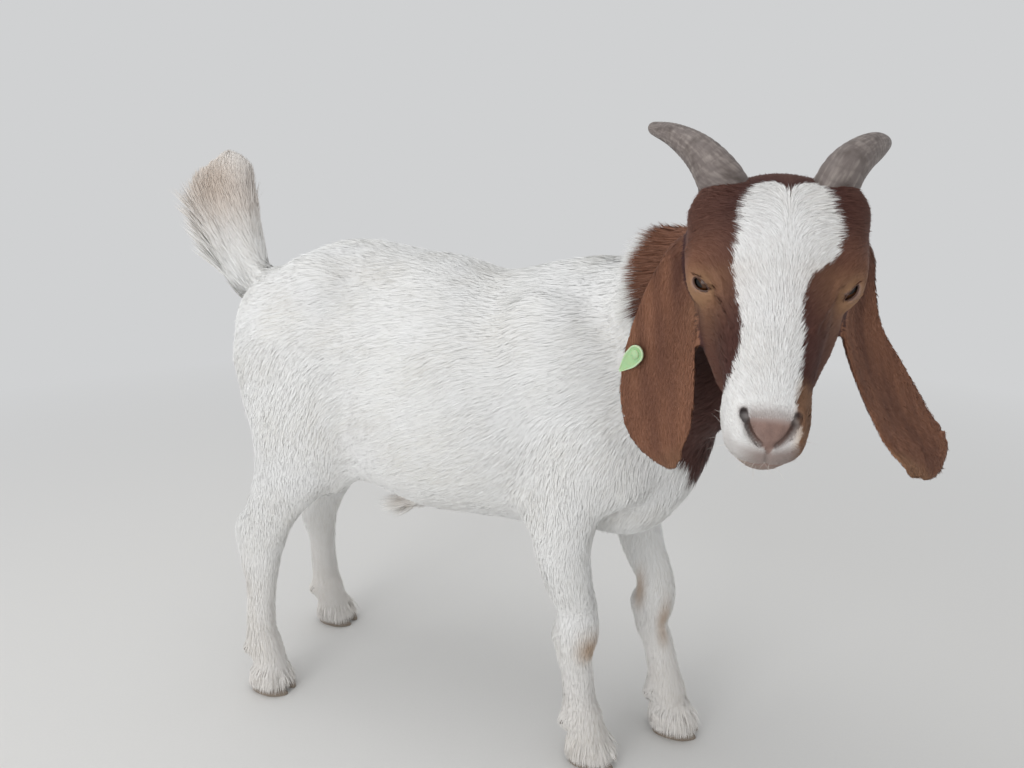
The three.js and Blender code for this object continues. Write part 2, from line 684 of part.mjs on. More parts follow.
function stemHole() {
  const hole = new THREE.CylinderGeometry(tag.stem + gap, tag.stem + gap, 40, 12).rotateX(Math.PI / 2);
  return solidFrom(hole.applyMatrix4(tagFrame()));
}

addPart('ear_right', ears.right.subtract(stemHole()), palette.chestnut);
addPart('ear_left', ears.left, palette.chestnut);
addPart('ear_tag_plate', tagPlate(), palette.tag);
addPart('ear_tag_button', tagButton(), palette.tag);

// Legs, each in two lengths, with two claws and two dewclaws.
const claw = {
  half: 11.2, bevel: 3, apart: 11.5, toe: 29, heel: -23, heelRound: 4, lip: 3, toeBack: 26, high: 44, bulb: 12,
  straight: 4, taper: 0.42, closing: 3.5,
};
const dewclaw = { root: [-12, -3, 7, 6], tip: [-27, -15, 4.5, 4], apart: 12, sides: 6 };

// Side outline of a claw: flat sole, sloping toe, coronet, rounded heel.
function clawSolid([hx, hy], offset) {
  const outline = new THREE.Shape();
  outline.moveTo(claw.heel + claw.heelRound, 0);
  outline.lineTo(claw.toe, 0);
  outline.lineTo(claw.toe + 1, claw.lip);
  outline.lineTo(claw.toe - claw.toeBack, claw.high); // the wall slopes at about 58 degrees
  outline.lineTo(claw.heel + claw.heelRound, claw.high);
  outline.lineTo(claw.heel - 2, claw.bulb);
  const depth = 2 * (claw.half - claw.bevel);
  const block = new THREE.ExtrudeGeometry(outline, {
    depth, bevelEnabled: true, bevelThickness: claw.bevel, bevelSize: 2, bevelOffset: -2, bevelSegments: 1,
  });
  block.translate(0, 0, -depth / 2).rotateX(Math.PI / 2);
  const place = block.getAttribute('position');
  for (let i = 0; i < place.count; i += 1) {
    const forward = (Math.max(place.getX(i) - claw.straight, 0) / (claw.toe - claw.straight)) ** 2;
    place.setY(i, place.getY(i) * (1 - claw.taper * forward) - Math.sign(offset) * claw.closing * forward);
  }
  block.translate(hx, hy + offset, 0);
  return solidFrom(block).intersect(halfSpace([0, 0, 0], [0, 0, 1], 0));
}

function addLeg(name, side, { fetlock, hoof }) {
  const [crownPoint, crownNormal] = coronet(hoof);
  const upper = `${name}_upper`;
  const lower = `${name}_lower`;
  addPart(upper, fleshSolid(upper).intersect(regionSolid(regions[upper], -gap / 2)), palette.white);
  const shank = fleshSolid(lower)
    .intersect(regionSolid(regions[lower], -gap / 2))
    .intersect(halfSpace(crownPoint, crownNormal, gap / 2));
  const crownCut = halfSpace(crownPoint, crownNormal, -gap / 2);
  for (const [place, way] of [['inner', -side], ['outer', side]]) {
    const toe = clawSolid(hoof, way * claw.apart).subtract(crownCut);
    addPart(name.replace('leg', 'claw') + `_${place}`, toe, palette.claw);
    const [fx, fy, fz] = fetlock;
    const y = fy + way * dewclaw.apart;
    const rings = [dewclaw.root, dewclaw.tip].map(([x, z, ...half]) => [fx + x, y, fz + z, ...half]);
    const stub = loft(rings, [0, 1, 0], dewclaw.sides, 1);
    addPart(name.replace('leg', 'dewclaw') + `_${place}`, stub.subtract(fleshSolid(lower, cutClearance)), palette.claw);
  }
  addPart(lower, shank, palette.white);
}

for (const [name, side] of Object.entries(sides)) {
  addLeg(`leg_hind_${name}`, side, hindLegs[name]);
  addLeg(`leg_front_${name}`, side, foreLegs[name]);
}

// The origin is under the middle of the whole animal, on the ground.
const whole = new THREE.Box3().setFromObject(goat);
const middle = whole.getCenter(new THREE.Vector3());
for (const part of goat.children) part.position.set(-middle.x, -middle.y, -whole.min.z);

export default goat;
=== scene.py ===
# A young Boer goat buck at life size: a still model that stands with its neck bent to its right.
# Shapes are worked out in millimetres in the goat's own frame (x to the chest, y to its left,
# z up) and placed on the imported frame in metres.
import math

import bpy
import numpy as np
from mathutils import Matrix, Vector


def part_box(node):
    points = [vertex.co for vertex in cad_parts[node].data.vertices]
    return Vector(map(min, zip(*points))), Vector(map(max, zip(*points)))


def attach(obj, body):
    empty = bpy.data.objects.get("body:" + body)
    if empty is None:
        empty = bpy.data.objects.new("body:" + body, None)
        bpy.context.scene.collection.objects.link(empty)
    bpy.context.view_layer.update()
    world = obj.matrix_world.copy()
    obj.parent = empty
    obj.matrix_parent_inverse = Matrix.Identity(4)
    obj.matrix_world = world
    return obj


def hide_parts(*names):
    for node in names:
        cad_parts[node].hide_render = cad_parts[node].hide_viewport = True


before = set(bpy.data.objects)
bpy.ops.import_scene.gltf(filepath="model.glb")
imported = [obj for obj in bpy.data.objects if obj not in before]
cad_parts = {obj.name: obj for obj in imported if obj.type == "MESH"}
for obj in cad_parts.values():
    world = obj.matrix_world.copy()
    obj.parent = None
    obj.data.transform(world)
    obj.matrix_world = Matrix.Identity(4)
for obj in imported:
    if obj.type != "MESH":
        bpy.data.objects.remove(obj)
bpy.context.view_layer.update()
sides = {"right": -1, "left": 1}

# the stance: joints of the legs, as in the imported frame
hindLegs = {
    "right": {"stifle": (-120, -86, 360), "hock": (-248, -76, 214), "fetlock": (-254, -80, 66),
              "hoof": (-242, -81, 0)},
    "left": {"stifle": (-130, 86, 360), "hock": (-264, 72, 213), "fetlock": (-272, 88, 64),
             "hoof": (-260, 95, 0)},
}
foreLegs = {
    "right": {"elbow": (152, -82, 318), "knee": (177, -62, 178), "fetlock": (186, -50, 62),
              "hoof": (199, -46, 0)},
    "left": {"elbow": (190, 78, 318), "knee": (240, 54, 170), "fetlock": (265, 47, 58),
             "hoof": (280, 44, 0)},
}
rootWidth = {"hip": 66, "shoulder": 74}  # from the middle plane to the root of a leg

# the head's own frame: x to the muzzle, y to the goat's left, z out of the brow
headPose = {"origin": (370, -200, 594), "turn": 82, "faceSlope": 41, "tilt": -1}
eyeball = {"at": (4, 45, 2), "radius": 14}


def unit(vector):
    vector = np.asarray(vector, float)
    return vector / np.linalg.norm(vector, axis=-1, keepdims=True)


def headAxes(pose):
    turn, slope, tilt = (math.radians(pose[name]) for name in ("turn", "faceSlope", "tilt"))
    ahead = np.array([math.cos(turn), -math.sin(turn), 0])
    left = np.array([math.sin(turn), math.cos(turn), 0])
    up = np.array([0, 0, 1.0])
    muzzle = ahead * math.sin(slope) - up * math.cos(slope)
    brow = ahead * math.cos(slope) + up * math.sin(slope)
    tiltedMuzzle = muzzle * math.cos(tilt) + left * math.sin(tilt)
    tiltedLeft = left * math.cos(tilt) - muzzle * math.sin(tilt)
    return np.stack([tiltedMuzzle, tiltedLeft, brow], 1)


headHome = (np.array(headPose["origin"], float), headAxes(headPose))


def fromHead(local):
    return headHome[0] + np.asarray(local, float) @ headHome[1].T


def toHead(points):
    return (points - headHome[0]) @ headHome[1]


# the goat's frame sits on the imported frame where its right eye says
eyeLow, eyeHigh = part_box("eye_right")
eyeHome = fromHead(np.array(eyeball["at"]) * (1, -1, 1))
frameShift = np.array((Vector(eyeLow) + Vector(eyeHigh)) / 2) * 1000 - eyeHome


def toFrame(points):
    return (np.asarray(points, float) + frameShift) / 1000


def ellipsoidDistance(u, v, w, a, b, c, power=2.0):
    x, y, z = np.abs(u / a), np.abs(v / b), np.abs(w / c)
    roundness = np.sqrt(x * x + y * y + z * z) + 1e-6
    level = roundness if power == 2 else (x**power + y**power + z**power) ** (1 / power)
    steep = np.sqrt((x / a) ** 2 + (y / b) ** 2 + (z / c) ** 2) + 1e-9
    return ((level - 1) * roundness / steep).astype(np.float32)


def catmullRom(rows, steps):
    rows = np.asarray(rows, float)
    padded = np.vstack([2 * rows[0] - rows[1], rows, 2 * rows[-1] - rows[-2]])
    samples = []
    for a, b, c, d in zip(padded, padded[1:], padded[2:], padded[3:]):
        for t in np.arange(steps) / steps:
            bend = (2 * a - 5 * b + 4 * c - d) * t * t + (3 * b - a - 3 * c + d) * t**3
            samples.append(0.5 * (2 * b + (c - a) * t + bend))
    samples.append(rows[-1])
    return np.array(samples)


# A limb: an ellipse carried along stations of x, y, z, half width, half depth and cup.
def sweep(stations, width=((0, 1, 0),), blend=12, power=2.0, carve=False):
    rows = catmullRom([tuple(row) + (0,) * (6 - len(row)) for row in stations], 4)
    rows[:, 3:5] = np.maximum(rows[:, 3:5], 0.4)  # no thinner than this
    place = np.linspace(0, len(width) - 1, len(rows))
    acrossAt = np.stack([np.interp(place, range(len(width)), axis)
                         for axis in np.array(width, float).T], 1)
    pieces = []
    for i in range(len(rows) - 1):
        along = rows[i + 1, :3] - rows[i, :3]
        length = np.linalg.norm(along)
        along = along / length
        across = acrossAt[i] + acrossAt[i + 1]
        across = unit(across - along * (across @ along))
        axes = np.stack([across, np.cross(along, across), along], 1).astype(np.float32)
        pieces.append((rows[i, :3].astype(np.float32), axes, length, rows[i, 3:], rows[i + 1, 3:]))
    reach = (rows[:, 3:5].max(1) + np.abs(rows[:, 5]))[:, None]

    def distance(points):
        # the piece with the nearest centre line gives the value
        nearest = np.full(len(points), np.inf, np.float32)
        found = np.zeros((5, len(points)), np.float32)
        for start, axes, length, sizeFrom, sizeTo in pieces:
            local = (points - start) @ axes
            share = np.clip(local[:, 2] / length, 0, 1)
            past = local[:, 2] - share * length
            away = local[:, 0] ** 2 + local[:, 1] ** 2 + past**2
            nearer = away < nearest
            nearest[nearer] = away[nearer]
            share = share[nearer]
            a, b, cup = (sizeFrom[k] + (sizeTo[k] - sizeFrom[k]) * share for k in range(3))
            through = local[nearer, 1] - cup * np.minimum((local[nearer, 0] / a) ** 2, 2.5)
            found[:, nearer] = local[nearer, 0], through, past[nearer], a, b
        u, v, w, a, b = found
        return ellipsoidDistance(u, v, w, a, b, np.minimum(a, b), power)

    return dict(low=(rows[:, :3] - reach).min(0), high=(rows[:, :3] + reach).max(0),
                blend=blend, carve=carve, home=None, distance=distance)


# A muscle or bony point: an ellipsoid, leant about the y axis or turned to the given axes.
def mound(centre, radii, lean=0, blend=12, carve=False, axes=None):
    if axes is None:
        cos, sin = math.cos(math.radians(lean)), math.sin(math.radians(lean))
        axes = np.array([(cos, 0, sin), (0, 1, 0), (-sin, 0, cos)])
    axes = np.asarray(axes, float)
    centre = np.asarray(centre, float)
    half = (np.abs(axes) * np.array(radii)[:, None]).sum(0)

    def distance(points):
        local = (points - centre.astype(np.float32)) @ axes.T.astype(np.float32)
        return ellipsoidDistance(*local.T, *radii)

    return dict(low=centre - half, high=centre + half, blend=blend, carve=carve, home=None,
                distance=distance)


# shapes given in the head's own frame
def inHead(shapes):
    return [shape | {"home": headHome} for shape in shapes]


def mixShape(value, shape, other):
    k = shape["blend"]
    if shape["carve"]:
        mix = np.maximum(k - np.abs(value + other), 0) / k
        return np.maximum(value, -other) + mix * mix * k / 4
    mix = np.maximum(k - np.abs(value - other), 0) / k
    return np.minimum(value, other) - mix * mix * k / 4


def localPoints(points, shape):
    if shape["home"] is None:
        return points
    origin, axes = shape["home"]
    return (points - origin.astype(np.float32)) @ axes.astype(np.float32)


def shapeBox(shape, pad):
    low, high = shape["low"], shape["high"]
    if shape["home"] is not None:
        origin, axes = shape["home"]
        corners = np.array([np.where(pick, high, low) for pick in np.ndindex(2, 2, 2)])
        corners = corners @ axes.T + origin
        low, high = corners.min(0), corners.max(0)
    return low - pad, high + pad


# All shapes blended in turn, at loose points; beyond reach of a shape's box it has no say.
def fieldAt(points, shapes, reach=30):
    points = np.asarray(points, np.float32)
    value = np.full(len(points), 1e3, np.float32)
    for shape in shapes:
        low, high = shapeBox(shape, shape["blend"] + reach)
        near = np.nonzero(np.all((points > low) & (points < high), 1))[0]
        if len(near):
            other = shape["distance"](localPoints(points[near], shape))
            value[near] = mixShape(value[near], shape, other)
    return value


def slopeAt(points, field, step=0.4):
    slope = np.empty((len(points), 3), np.float32)
    for axis, offset in enumerate(np.eye(3, dtype=np.float32) * np.float32(step)):
        slope[:, axis] = (field(points + offset) - field(points - offset)) / (2 * step)
    return slope


# Moves points along the slope until the field there equals level.
def settle(points, field, level, rounds, most=3.0):
    for _ in range(rounds):
        slope = slopeAt(points, field)
        move = (level - field(points)) / np.maximum((slope**2).sum(1), 0.2)
        points = points + slope * np.clip(move, -most, most)[:, None]
    return points


trunkLine = (  # x, back height, belly height, half width
    (-228, 554, 462, 50), (-192, 578, 414, 82), (-130, 591, 355, 98), (-60, 587, 299, 110),
    (0, 579, 279, 118), (60, 565, 281, 117), (120, 565, 283, 104), (175, 566, 282, 90),
    (212, 526, 294, 76), (236, 464, 304, 60),
)


def trunkShapes():
    barrel = [(x, 0, (back + belly) / 2, half, (back - belly) / 2)
              for x, back, belly, half in trunkLine]
    shapes = [
        sweep(barrel, blend=20, power=2.25),
        sweep([(-215, 0, 534, 34, 22), (-140, 0, 572, 44, 26), (-40, 0, 560, 46, 22),
               (50, 0, 538, 40, 20), (115, 0, 544, 32, 24), (175, 0, 552, 30, 26)],
              blend=45),  # backbone
    ]
    for s in sides.values():
        shapes += [
            mound((-172, s * 62, 455), (84, 44, 112), lean=22, blend=40),  # haunch
            mound((-138, s * 64, 556), (34, 24, 26), blend=40),  # hip point
            mound((-230, s * 50, 492), (26, 24, 34), blend=30),  # pin bone
            mound((168, s * 70, 450), (54, 28, 108), lean=17.5, blend=40),  # shoulder blade
            mound((214, s * 66, 388), (46, 32, 52), blend=35),  # point of the shoulder
        ]
    shapes += [
        sweep([(120, 0, 326, 44, 30), (190, 0, 316, 48, 36), (228, 0, 322, 44, 38),
               (248, 0, 345, 38, 34)], blend=40),  # breast
        sweep([(-40, 0, 281, 18, 12), (-62, 0, 272, 14, 10), (-76, 0, 268, 9, 8)],
              blend=18),  # sheath
    ]
    for s in sides.values():
        shapes.append(sweep([(-95, s * 78, 400, 16, 20), (-112, s * 76, 345, 14, 22),
                             (-138, s * 66, 310, 12, 20)], blend=40))  # fold of the flank
    return shapes


def footStations(fetlock, hoof):
    (fx, fy, fz), (hx, hy, _) = fetlock, hoof
    return [(fx, fy, fz, 21.5, 25.5), (fx + 7, fy, fz - 22, 21, 24), (hx - 2, hy, 24, 23, 26),
            (hx, hy, 12, 24, 27)]


def dewclawSeats(fetlock):
    fx, fy, fz = fetlock
    return [mound((fx - 17, fy + way * 12, fz - 7), (10, 7.5, 10), blend=8) for way in (-1, 1)]


def hindLegShapes(s, leg):
    (sx, sy, sz), (hx, hy, hz), (fx, fy, fz) = leg["stifle"], leg["hock"], leg["fetlock"]
    return [
        sweep([(-178, s * rootWidth["hip"], 470, 46, 86), (sx - 42, sy - s * 4, sz + 35, 44, 80),
               (sx - 60, sy, sz - 28, 36, 54),
               ((sx + hx) / 2 - 28, (sy + hy) / 2, (sz + hz) / 2 - 6, 27, 38),
               (hx + 2, hy, hz + 12, 22, 33)], blend=22),  # thigh and gaskin
        sweep([(hx - 22, hy, hz + 26, 10, 11), (hx - 24, hy, hz + 6, 13, 15),
               (hx - 10, hy, hz - 34, 15, 20)], blend=14),  # heel bone
        sweep([(hx + 6, hy, hz + 14, 22, 31), (hx, hy, hz - 24, 20, 27),
               ((hx + fx) / 2 - 2, (hy + fy) / 2, (hz + fz) / 2, 17, 21.5),
               (fx - 2, fy, fz + 22, 18, 22), *footStations(leg["fetlock"], leg["hoof"])]),
    ] + dewclawSeats(leg["fetlock"])


def foreLegShapes(s, leg):
    (ex, ey, ez), (kx, ky, kz), (fx, fy, fz) = leg["elbow"], leg["knee"], leg["fetlock"]
    return [
        sweep([(ex + 34, s * rootWidth["shoulder"], ez + 92, 32, 54), (ex + 22, ey, ez + 24, 31, 40),
               (ex + 17, ey, ez - 30, 27, 33),
               ((ex + kx) / 2 + 10, (ey + ky) / 2, (ez + kz) / 2 - 10, 22, 28),
               (kx + 4, ky, kz + 30, 21, 24), (kx + 5, ky, kz, 23.5, 26), (kx + 2, ky, kz - 32, 18.5, 22),
               ((kx + fx) / 2, (ky + fy) / 2, (kz + fz) / 2, 17, 20), (fx - 3, fy, fz + 20, 18, 21),
               *footStations(leg["fetlock"], leg["hoof"])], blend=18),
        mound((ex - 14, ey, ez + 10), (16, 13, 22), blend=22),  # point of the elbow
        mound((kx - 15, ky, kz - 8), (10, 11, 13)),  # bone behind the knee
    ] + dewclawSeats(leg["fetlock"])


def neckShapes():
    return [
        sweep([(160, 0, 480, 66, 92), (218, -8, 490, 64, 98), (268, -38, 520, 56, 88),
               (312, -80, 566, 50, 73), (348, -124, 606, 46, 57)],
              width=((0, 1, 0), (0.35, 0.93, 0), headHome[1][:, 1]), blend=40),
        sweep([(252, -26, 420, 40, 36), (286, -50, 452, 38, 38), (318, -92, 492, 38, 42),
               (348, -132, 540, 36, 38)], width=((0.6, 0.8, 0),), blend=40),  # throat
    ]


def tailShapes():
    return [sweep([(-240, 0, 524, 28, 32), (-288, 0, 546, 28, 36), (-314, 0, 602, 27, 42),
                   (-322, 0, 650, 28, 51), (-305, 0, 684, 22, 31)], blend=22)]


def headShapes():
    shapes = [
        sweep([(-61, 0, -9, 46, 32), (-35, 0, -2, 52, 38), (0, 0, 0, 52, 38), (40, 0, -1, 40, 33),
               (80, 0, -5, 31, 28), (108, 0, -10, 26.5, 22), (120, 0, -13, 23, 17)],
              blend=16, power=2.3),  # skull and face
        sweep([(-45, 0, -46, 34, 34), (0, 0, -48, 36, 30), (40, 0, -45, 31, 24),
               (80, 0, -40, 24, 18), (108, 0, -38, 19.5, 14), (122, 0, -37, 15, 12)],
              blend=20, power=2.2),  # lower jaw
        mound((-36, 0, 16), (44, 50, 18), blend=25),  # forehead
    ]
    for s in sides.values():
        shapes += [
            mound((-2, s * 36, -38), (42, 17, 36), blend=20),  # chewing muscle
            mound((36, s * 27, -38), (34, 12, 22), blend=18),  # cheek
            mound((-4, s * 47, 8), (24, 14, 16), blend=14),  # rim of the eye socket
            mound((-28, s * 46, -6), (30, 17, 26), blend=18),  # cheekbone arch
            mound((106, s * 14, -18), (22, 13.5, 17), blend=14),  # upper lip
            mound((-58, s * 44, 6), (22, 20, 26), blend=18),  # ear and horn base
        ]
    shapes.append(mound((122, 0, -11), (13, 21, 13)))  # nose
    return inHead(shapes)


earLines = {
    "right": {"width": (0.8, -0.6, 0), "stations": (
        (322, -168, 624, 18, 14, 0), (306, -174, 608, 24, 10, 4), (297, -175, 583, 29, 6, 7),
        (291, -174, 550, 38, 4.5, 8), (287, -175, 510, 46, 4, 8), (285, -178, 475, 45, 4, 5),
        (288, -180, 452, 35, 3.6, 3), (295, -180, 437, 22, 3, 0), (299, -180, 430, 8, 2, 0))},
    "left": {"width": (-0.5, -0.86, 0), "stations": (
        (414, -152, 622, 18, 14, 0), (424, -147, 606, 20, 10, -4), (425, -145, 582, 24, 6, -7),
        (431, -143, 548, 29, 4.5, -8), (450, -142, 510, 38, 4, -8), (472, -141, 478, 43, 4, -5),
        (490, -141, 458, 41, 3.6, -3), (496, -142, 444, 28, 3, 0), (497, -143, 437, 11, 2, 0))},
}

# the lids: thickness over the ball, the hollow round them, and how far out the cuts are centred
eyeLids = {"thick": 2.0, "hollow": (24, 18, 14), "hollowOut": 28, "openingOut": 14, "cut": 9}
# each opening: its middle seen from the ball's centre, the way of its slit, and half its size
lidOpenings = {
    "right": {"middle": (0.62, 0.48, 0.62), "slit": (0.65, -0.76, -0.06), "half": (7.4, 4.0)},
    "left": {"middle": (0.66, 0.56, 0.50), "slit": (0.71, -0.60, -0.36), "half": (7.2, 3.2)},
}
# the nostril is a comma: a round top that runs down and in as a slit
nostrilLine = ((112.5, 17.6, 8.8, 1.4), (116, 17, 7.4, 2.3), (120, 15.8, 6.2, 2.0),
               (125.3, 12.5, 3.2, 1.5), (129.4, 8.8, 1.5, 1.3), (132.4, 5, 0.4, 1.1))
noseMiddle = 2  # the nose sits this far to the goat's left of the skull's middle plane
mouthLine = ((137, 0, -24), (134, 12, -24), (122, 20.5, -25), (104, 24, -28), (86, 25, -31))
lipGroove = ((134.5, 2, -1), (137, 2, -4), (138.6, 2, -9), (138, 2, -20))


# rows: along the slit, up the face, out of the eye
def eyeAxes(name):
    lid = lidOpenings[name]
    look = unit(np.array(lid["middle"]) * (1, sides[name], 1))
    slit = np.array(lid["slit"]) * (1, sides[name], 1)
    slit = unit(slit - look * (slit @ look))
    return np.stack([slit, -sides[name] * np.cross(look, slit), look])


def eyeCentre(name):
    return np.array(eyeball["at"]) * (1, sides[name], 1)


def faceShapes():
    shapes = []
    lidRadius = eyeball["radius"] + eyeLids["thick"]
    for name, s in sides.items():
        centre = eyeCentre(name)
        axes = eyeAxes(name)
        fold, crease = (
            [(*(centre + (x, s * y, z)), wide, wide) for x, y, z, wide in rows] for rows in (
                ((-15, 10, 9, 3), (-3, 4, 17.5, 3.4), (11, -4, 17.5, 2.8), (22, -9, 15, 2)),
                ((-9, 8, 14.5, 0.9), (3, 1, 16.5, 1.1), (14, -5, 13, 0.8))))
        shapes += [
            mound(centre + axes[2] * eyeLids["hollowOut"], eyeLids["hollow"], axes=axes, blend=9,
                  carve=True),
            mound(centre, (lidRadius,) * 3, blend=5),
            sweep(fold, blend=6),  # under the brow
            sweep(crease, blend=3, carve=True),  # in the upper lid
            mound(centre + axes[2] * eyeLids["openingOut"],
                  (*lidOpenings[name]["half"], eyeLids["cut"]), axes=axes, blend=1.2, carve=True),
            # ridge and furrow from the inner corner of the eye down the face
            sweep([(26, s * 41, 15, 2, 2), (38, s * 34, 19, 2.4, 2.4), (54, s * 26, 21, 2, 2)],
                  blend=7),
            sweep([(19, s * 47, 12.6, 1.2, 1.2), (34, s * 40, 16.4, 1.4, 1.4),
                   (50, s * 32, 19.4, 1.0, 1.0)], blend=5, carve=True),
            mound((117, noseMiddle + s * 18.5, 0), (13, 5, 9), blend=8),  # wing of the nostril
            sweep([(x, noseMiddle + s * y, z, wide, wide) for x, y, z, wide in nostrilLine],
                  blend=1.8, carve=True),
        ]
    shapes.append(sweep([point + (1.0, 1.0) for point in lipGroove], blend=2.2, carve=True))
    mouth = [(x, -y, z, 1.5, 1.2) for x, y, z in mouthLine[:0:-1]]
    mouth += [(x, y, z, 1.5, 1.2) for x, y, z in mouthLine]
    shapes.append(sweep(mouth, width=((0, 0, 1),), blend=3, carve=True))
    return inHead(shapes)


groups = {"trunk": trunkShapes()}
for kind, legs, build in (("hind", hindLegs, hindLegShapes), ("fore", foreLegs, foreLegShapes)):
    for name, leg in legs.items():
        groups[kind + name.title()] = build(sides[name], leg)
groups |= {"neck": neckShapes(), "tail": tailShapes(), "head": headShapes()}
for name, ear in earLines.items():
    groups["ear" + name.title()] = [sweep(ear["stations"], width=(ear["width"],), blend=8, power=2.4)]
skinShapes = [shape for shapes in groups.values() for shape in shapes] + faceShapes()
print("shapes", len(skinShapes))

# cells of the skin: coarse on the body, finer round the head and ears, finest on the face;
# from where, and how wide
skinCells = (
    ((-395, 4.8), (240, 2.2), (318, 1.4), (425, 2.2), (515, 4.8), (525, 0)),
    ((-345, 2.2), (-315, 1.4), (-190, 2.2), (-105, 4.8), (155, 0)),
    ((-6, 4.8), (425, 2.2), (478, 1.4), (622, 2.2), (712, 4.8), (750, 0)),
)
headBox = ((240, -345, 425), (515, -105, 712))


def axisTicks(spans):
    runs = [np.arange(start, stop - step * 0.3, step)
            for (start, step), (stop, _) in zip(spans, spans[1:])]
    return np.concatenate(runs).astype(np.float32)


def gridField(ticks, shapes, reach=14):
    values = np.full([len(t) for t in ticks], 1e3, np.float32)
    for shape in shapes:
        low, high = shapeBox(shape, shape["blend"] + reach)
        spans = [(np.searchsorted(t, a), np.searchsorted(t, b)) for t, a, b in zip(ticks, low, high)]
        if any(a >= b for a, b in spans):
            continue
        part = tuple(slice(a, b) for a, b in spans)
        mesh = np.meshgrid(*[t[span] for t, span in zip(ticks, part)], indexing="ij")
        points = np.stack([m.ravel() for m in mesh], 1)
        other = shape["distance"](localPoints(points, shape)).reshape(mesh[0].shape)
        values[part] = mixShape(values[part], shape, other)
    return values


# Surface nets: one vertex in each cell that the surface crosses, one quad over each crossed edge.
def surfaceNets(values, ticks):
    inside = values < 0
    cells = np.array(values.shape) - 1
    total = np.zeros((*cells, 3), np.float32)
    count = np.zeros(cells, np.int16)
    crossings = []

    def shifted(cell, axis, first, second):
        at = [c.copy() for c in cell]
        beside = [k for k in range(3) if k != axis]
        at[beside[0]] -= first
        at[beside[1]] -= second
        return at

    for axis in range(3):
        near, far = [slice(None)] * 3, [slice(None)] * 3
        near[axis], far[axis] = slice(0, -1), slice(1, None)
        near, far = tuple(near), tuple(far)
        crossed = np.nonzero(inside[near] != inside[far])
        a, b = values[near][crossed], values[far][crossed]
        points = np.stack([ticks[k][crossed[k]] for k in range(3)], 1)
        points[:, axis] += a / (a - b) * np.diff(ticks[axis])[crossed[axis]]
        crossings.append((crossed, inside[near][crossed]))
        for corner in np.ndindex(2, 2):
            cell = shifted(crossed, axis, *corner)
            fits = np.all([(c >= 0) & (c < n) for c, n in zip(cell, cells)], 0)
            at = tuple(c[fits] for c in cell)
            np.add.at(total, at, points[fits])
            np.add.at(count, at, 1)
    used = count > 0
    index = np.full(cells, -1, np.int32)
    index[used] = np.arange(used.sum())
    quads = []
    for axis, (crossed, startsInside) in enumerate(crossings):
        fits = np.all([(crossed[k] > 0) & (crossed[k] < cells[k]) for k in range(3) if k != axis], 0)
        cell = [c[fits] for c in crossed]
        quad = np.stack([index[tuple(shifted(cell, axis, *corner))]
                         for corner in ((1, 1), (0, 1), (0, 0), (1, 0))], 1)
        outward = startsInside[fits] != (axis == 1)
        quad[~outward] = quad[~outward][:, ::-1]
        quads.append(quad)
    return total[used] / count[used][:, None], np.vstack(quads)


ticks = [axisTicks(spans) for spans in skinCells]
fleshGrid = gridField(ticks, skinShapes)
print("grid", fleshGrid.shape)
points, quads = surfaceNets(fleshGrid, ticks)
print("nets", len(points), len(quads))


# The grid's values between its ticks.
def gridAt(points):
    at, share = [], []
    for axis in range(3):
        place = np.interp(points[:, axis], ticks[axis], np.arange(len(ticks[axis])))
        cell = np.minimum(place.astype(np.int32), len(ticks[axis]) - 2)
        at.append(cell)
        share.append((place - cell).astype(np.float32))
    value = np.zeros(len(points), np.float32)
    for i, j, k in np.ndindex(2, 2, 2):
        weight = (share[0] if i else 1 - share[0]) * (share[1] if j else 1 - share[1])
        weight = weight * (share[2] if k else 1 - share[2])
        value += weight * fleshGrid[at[0] + i, at[1] + j, at[2] + k]
    return value


def smooth(value, low, high):
    t = np.clip((value - low) / (high - low), 0, 1)
    return t * t * (3 - 2 * t)


# how much of each point belongs to each group of shapes
def groupShares(points, softness=7):
    fields = {name: np.minimum(fieldAt(points, shapes), 200) for name, shapes in groups.items()}
    shares = {name: np.exp(-np.maximum(value, -20) / softness) for name, value in fields.items()}
    whole = sum(shares.values()) + 1e-12
    return {name: value / whole for name, value in shares.items()}


# how far the skin lies inside the tips of the coat, and where that thins out
coatDepth = {"trunk": 4.5, "neck": 5, "head": 2, "tail": 9, "ear": 0.8, "hind": 3.0, "fore": 3.0}
thinner = {"muzzle": (70, 118), "muzzleShare": 0.75, "lids": (3, 12), "lidShare": 0.95, "least": 0.15}
kinds = {name: next(kind for kind in coatDepth if name.startswith(kind)) for name in groups}


def eyeDistance(local):
    return np.minimum(*[np.linalg.norm(local - eyeCentre(name), axis=1) for name in sides])


def depthAt(points, shares):
    depth = sum(coatDepth[kinds[name]] * share for name, share in shares.items())
    local = toHead(points)
    muzzle = smooth(local[:, 0], *thinner["muzzle"]) * (shares["head"] > 0.5)
    lids = 1 - smooth(eyeDistance(local), *[eyeball["radius"] + out for out in thinner["lids"]])
    less = np.maximum(muzzle * thinner["muzzleShare"], lids * thinner["lidShare"])
    return depth * (1 - less) + thinner["least"]


# Eases the joints of the sweeps: each round pulls in, then pushes out, so that rims keep their width.
def relax(points, quads, share, rounds):
    a = quads.ravel()
    b = np.roll(quads, -1, 1).ravel()
    count = np.bincount(a, minlength=len(points)) + np.bincount(b, minlength=len(points))
    for pull in (0.5, -0.53) * rounds:
        total = np.stack([np.bincount(a, points[b, k], len(points))
                          + np.bincount(b, points[a, k], len(points)) for k in range(3)], 1)
        points = points + (total / count[:, None] - points) * (pull * share)[:, None]
    return points


shares = groupShares(points)
depth = depthAt(points, shares)
fine = np.all((points > headBox[0]) & (points < headBox[1]), 1)
nearHead = sum((groups[name] for name in ("neck", "head", "earRight", "earLeft")), []) + faceShapes()
points[fine] = settle(points[fine], lambda p: fieldAt(p, nearHead, 14), -depth[fine], 2, 2.0)
points[~fine] = settle(points[~fine], gridAt, -depth[~fine], 4)

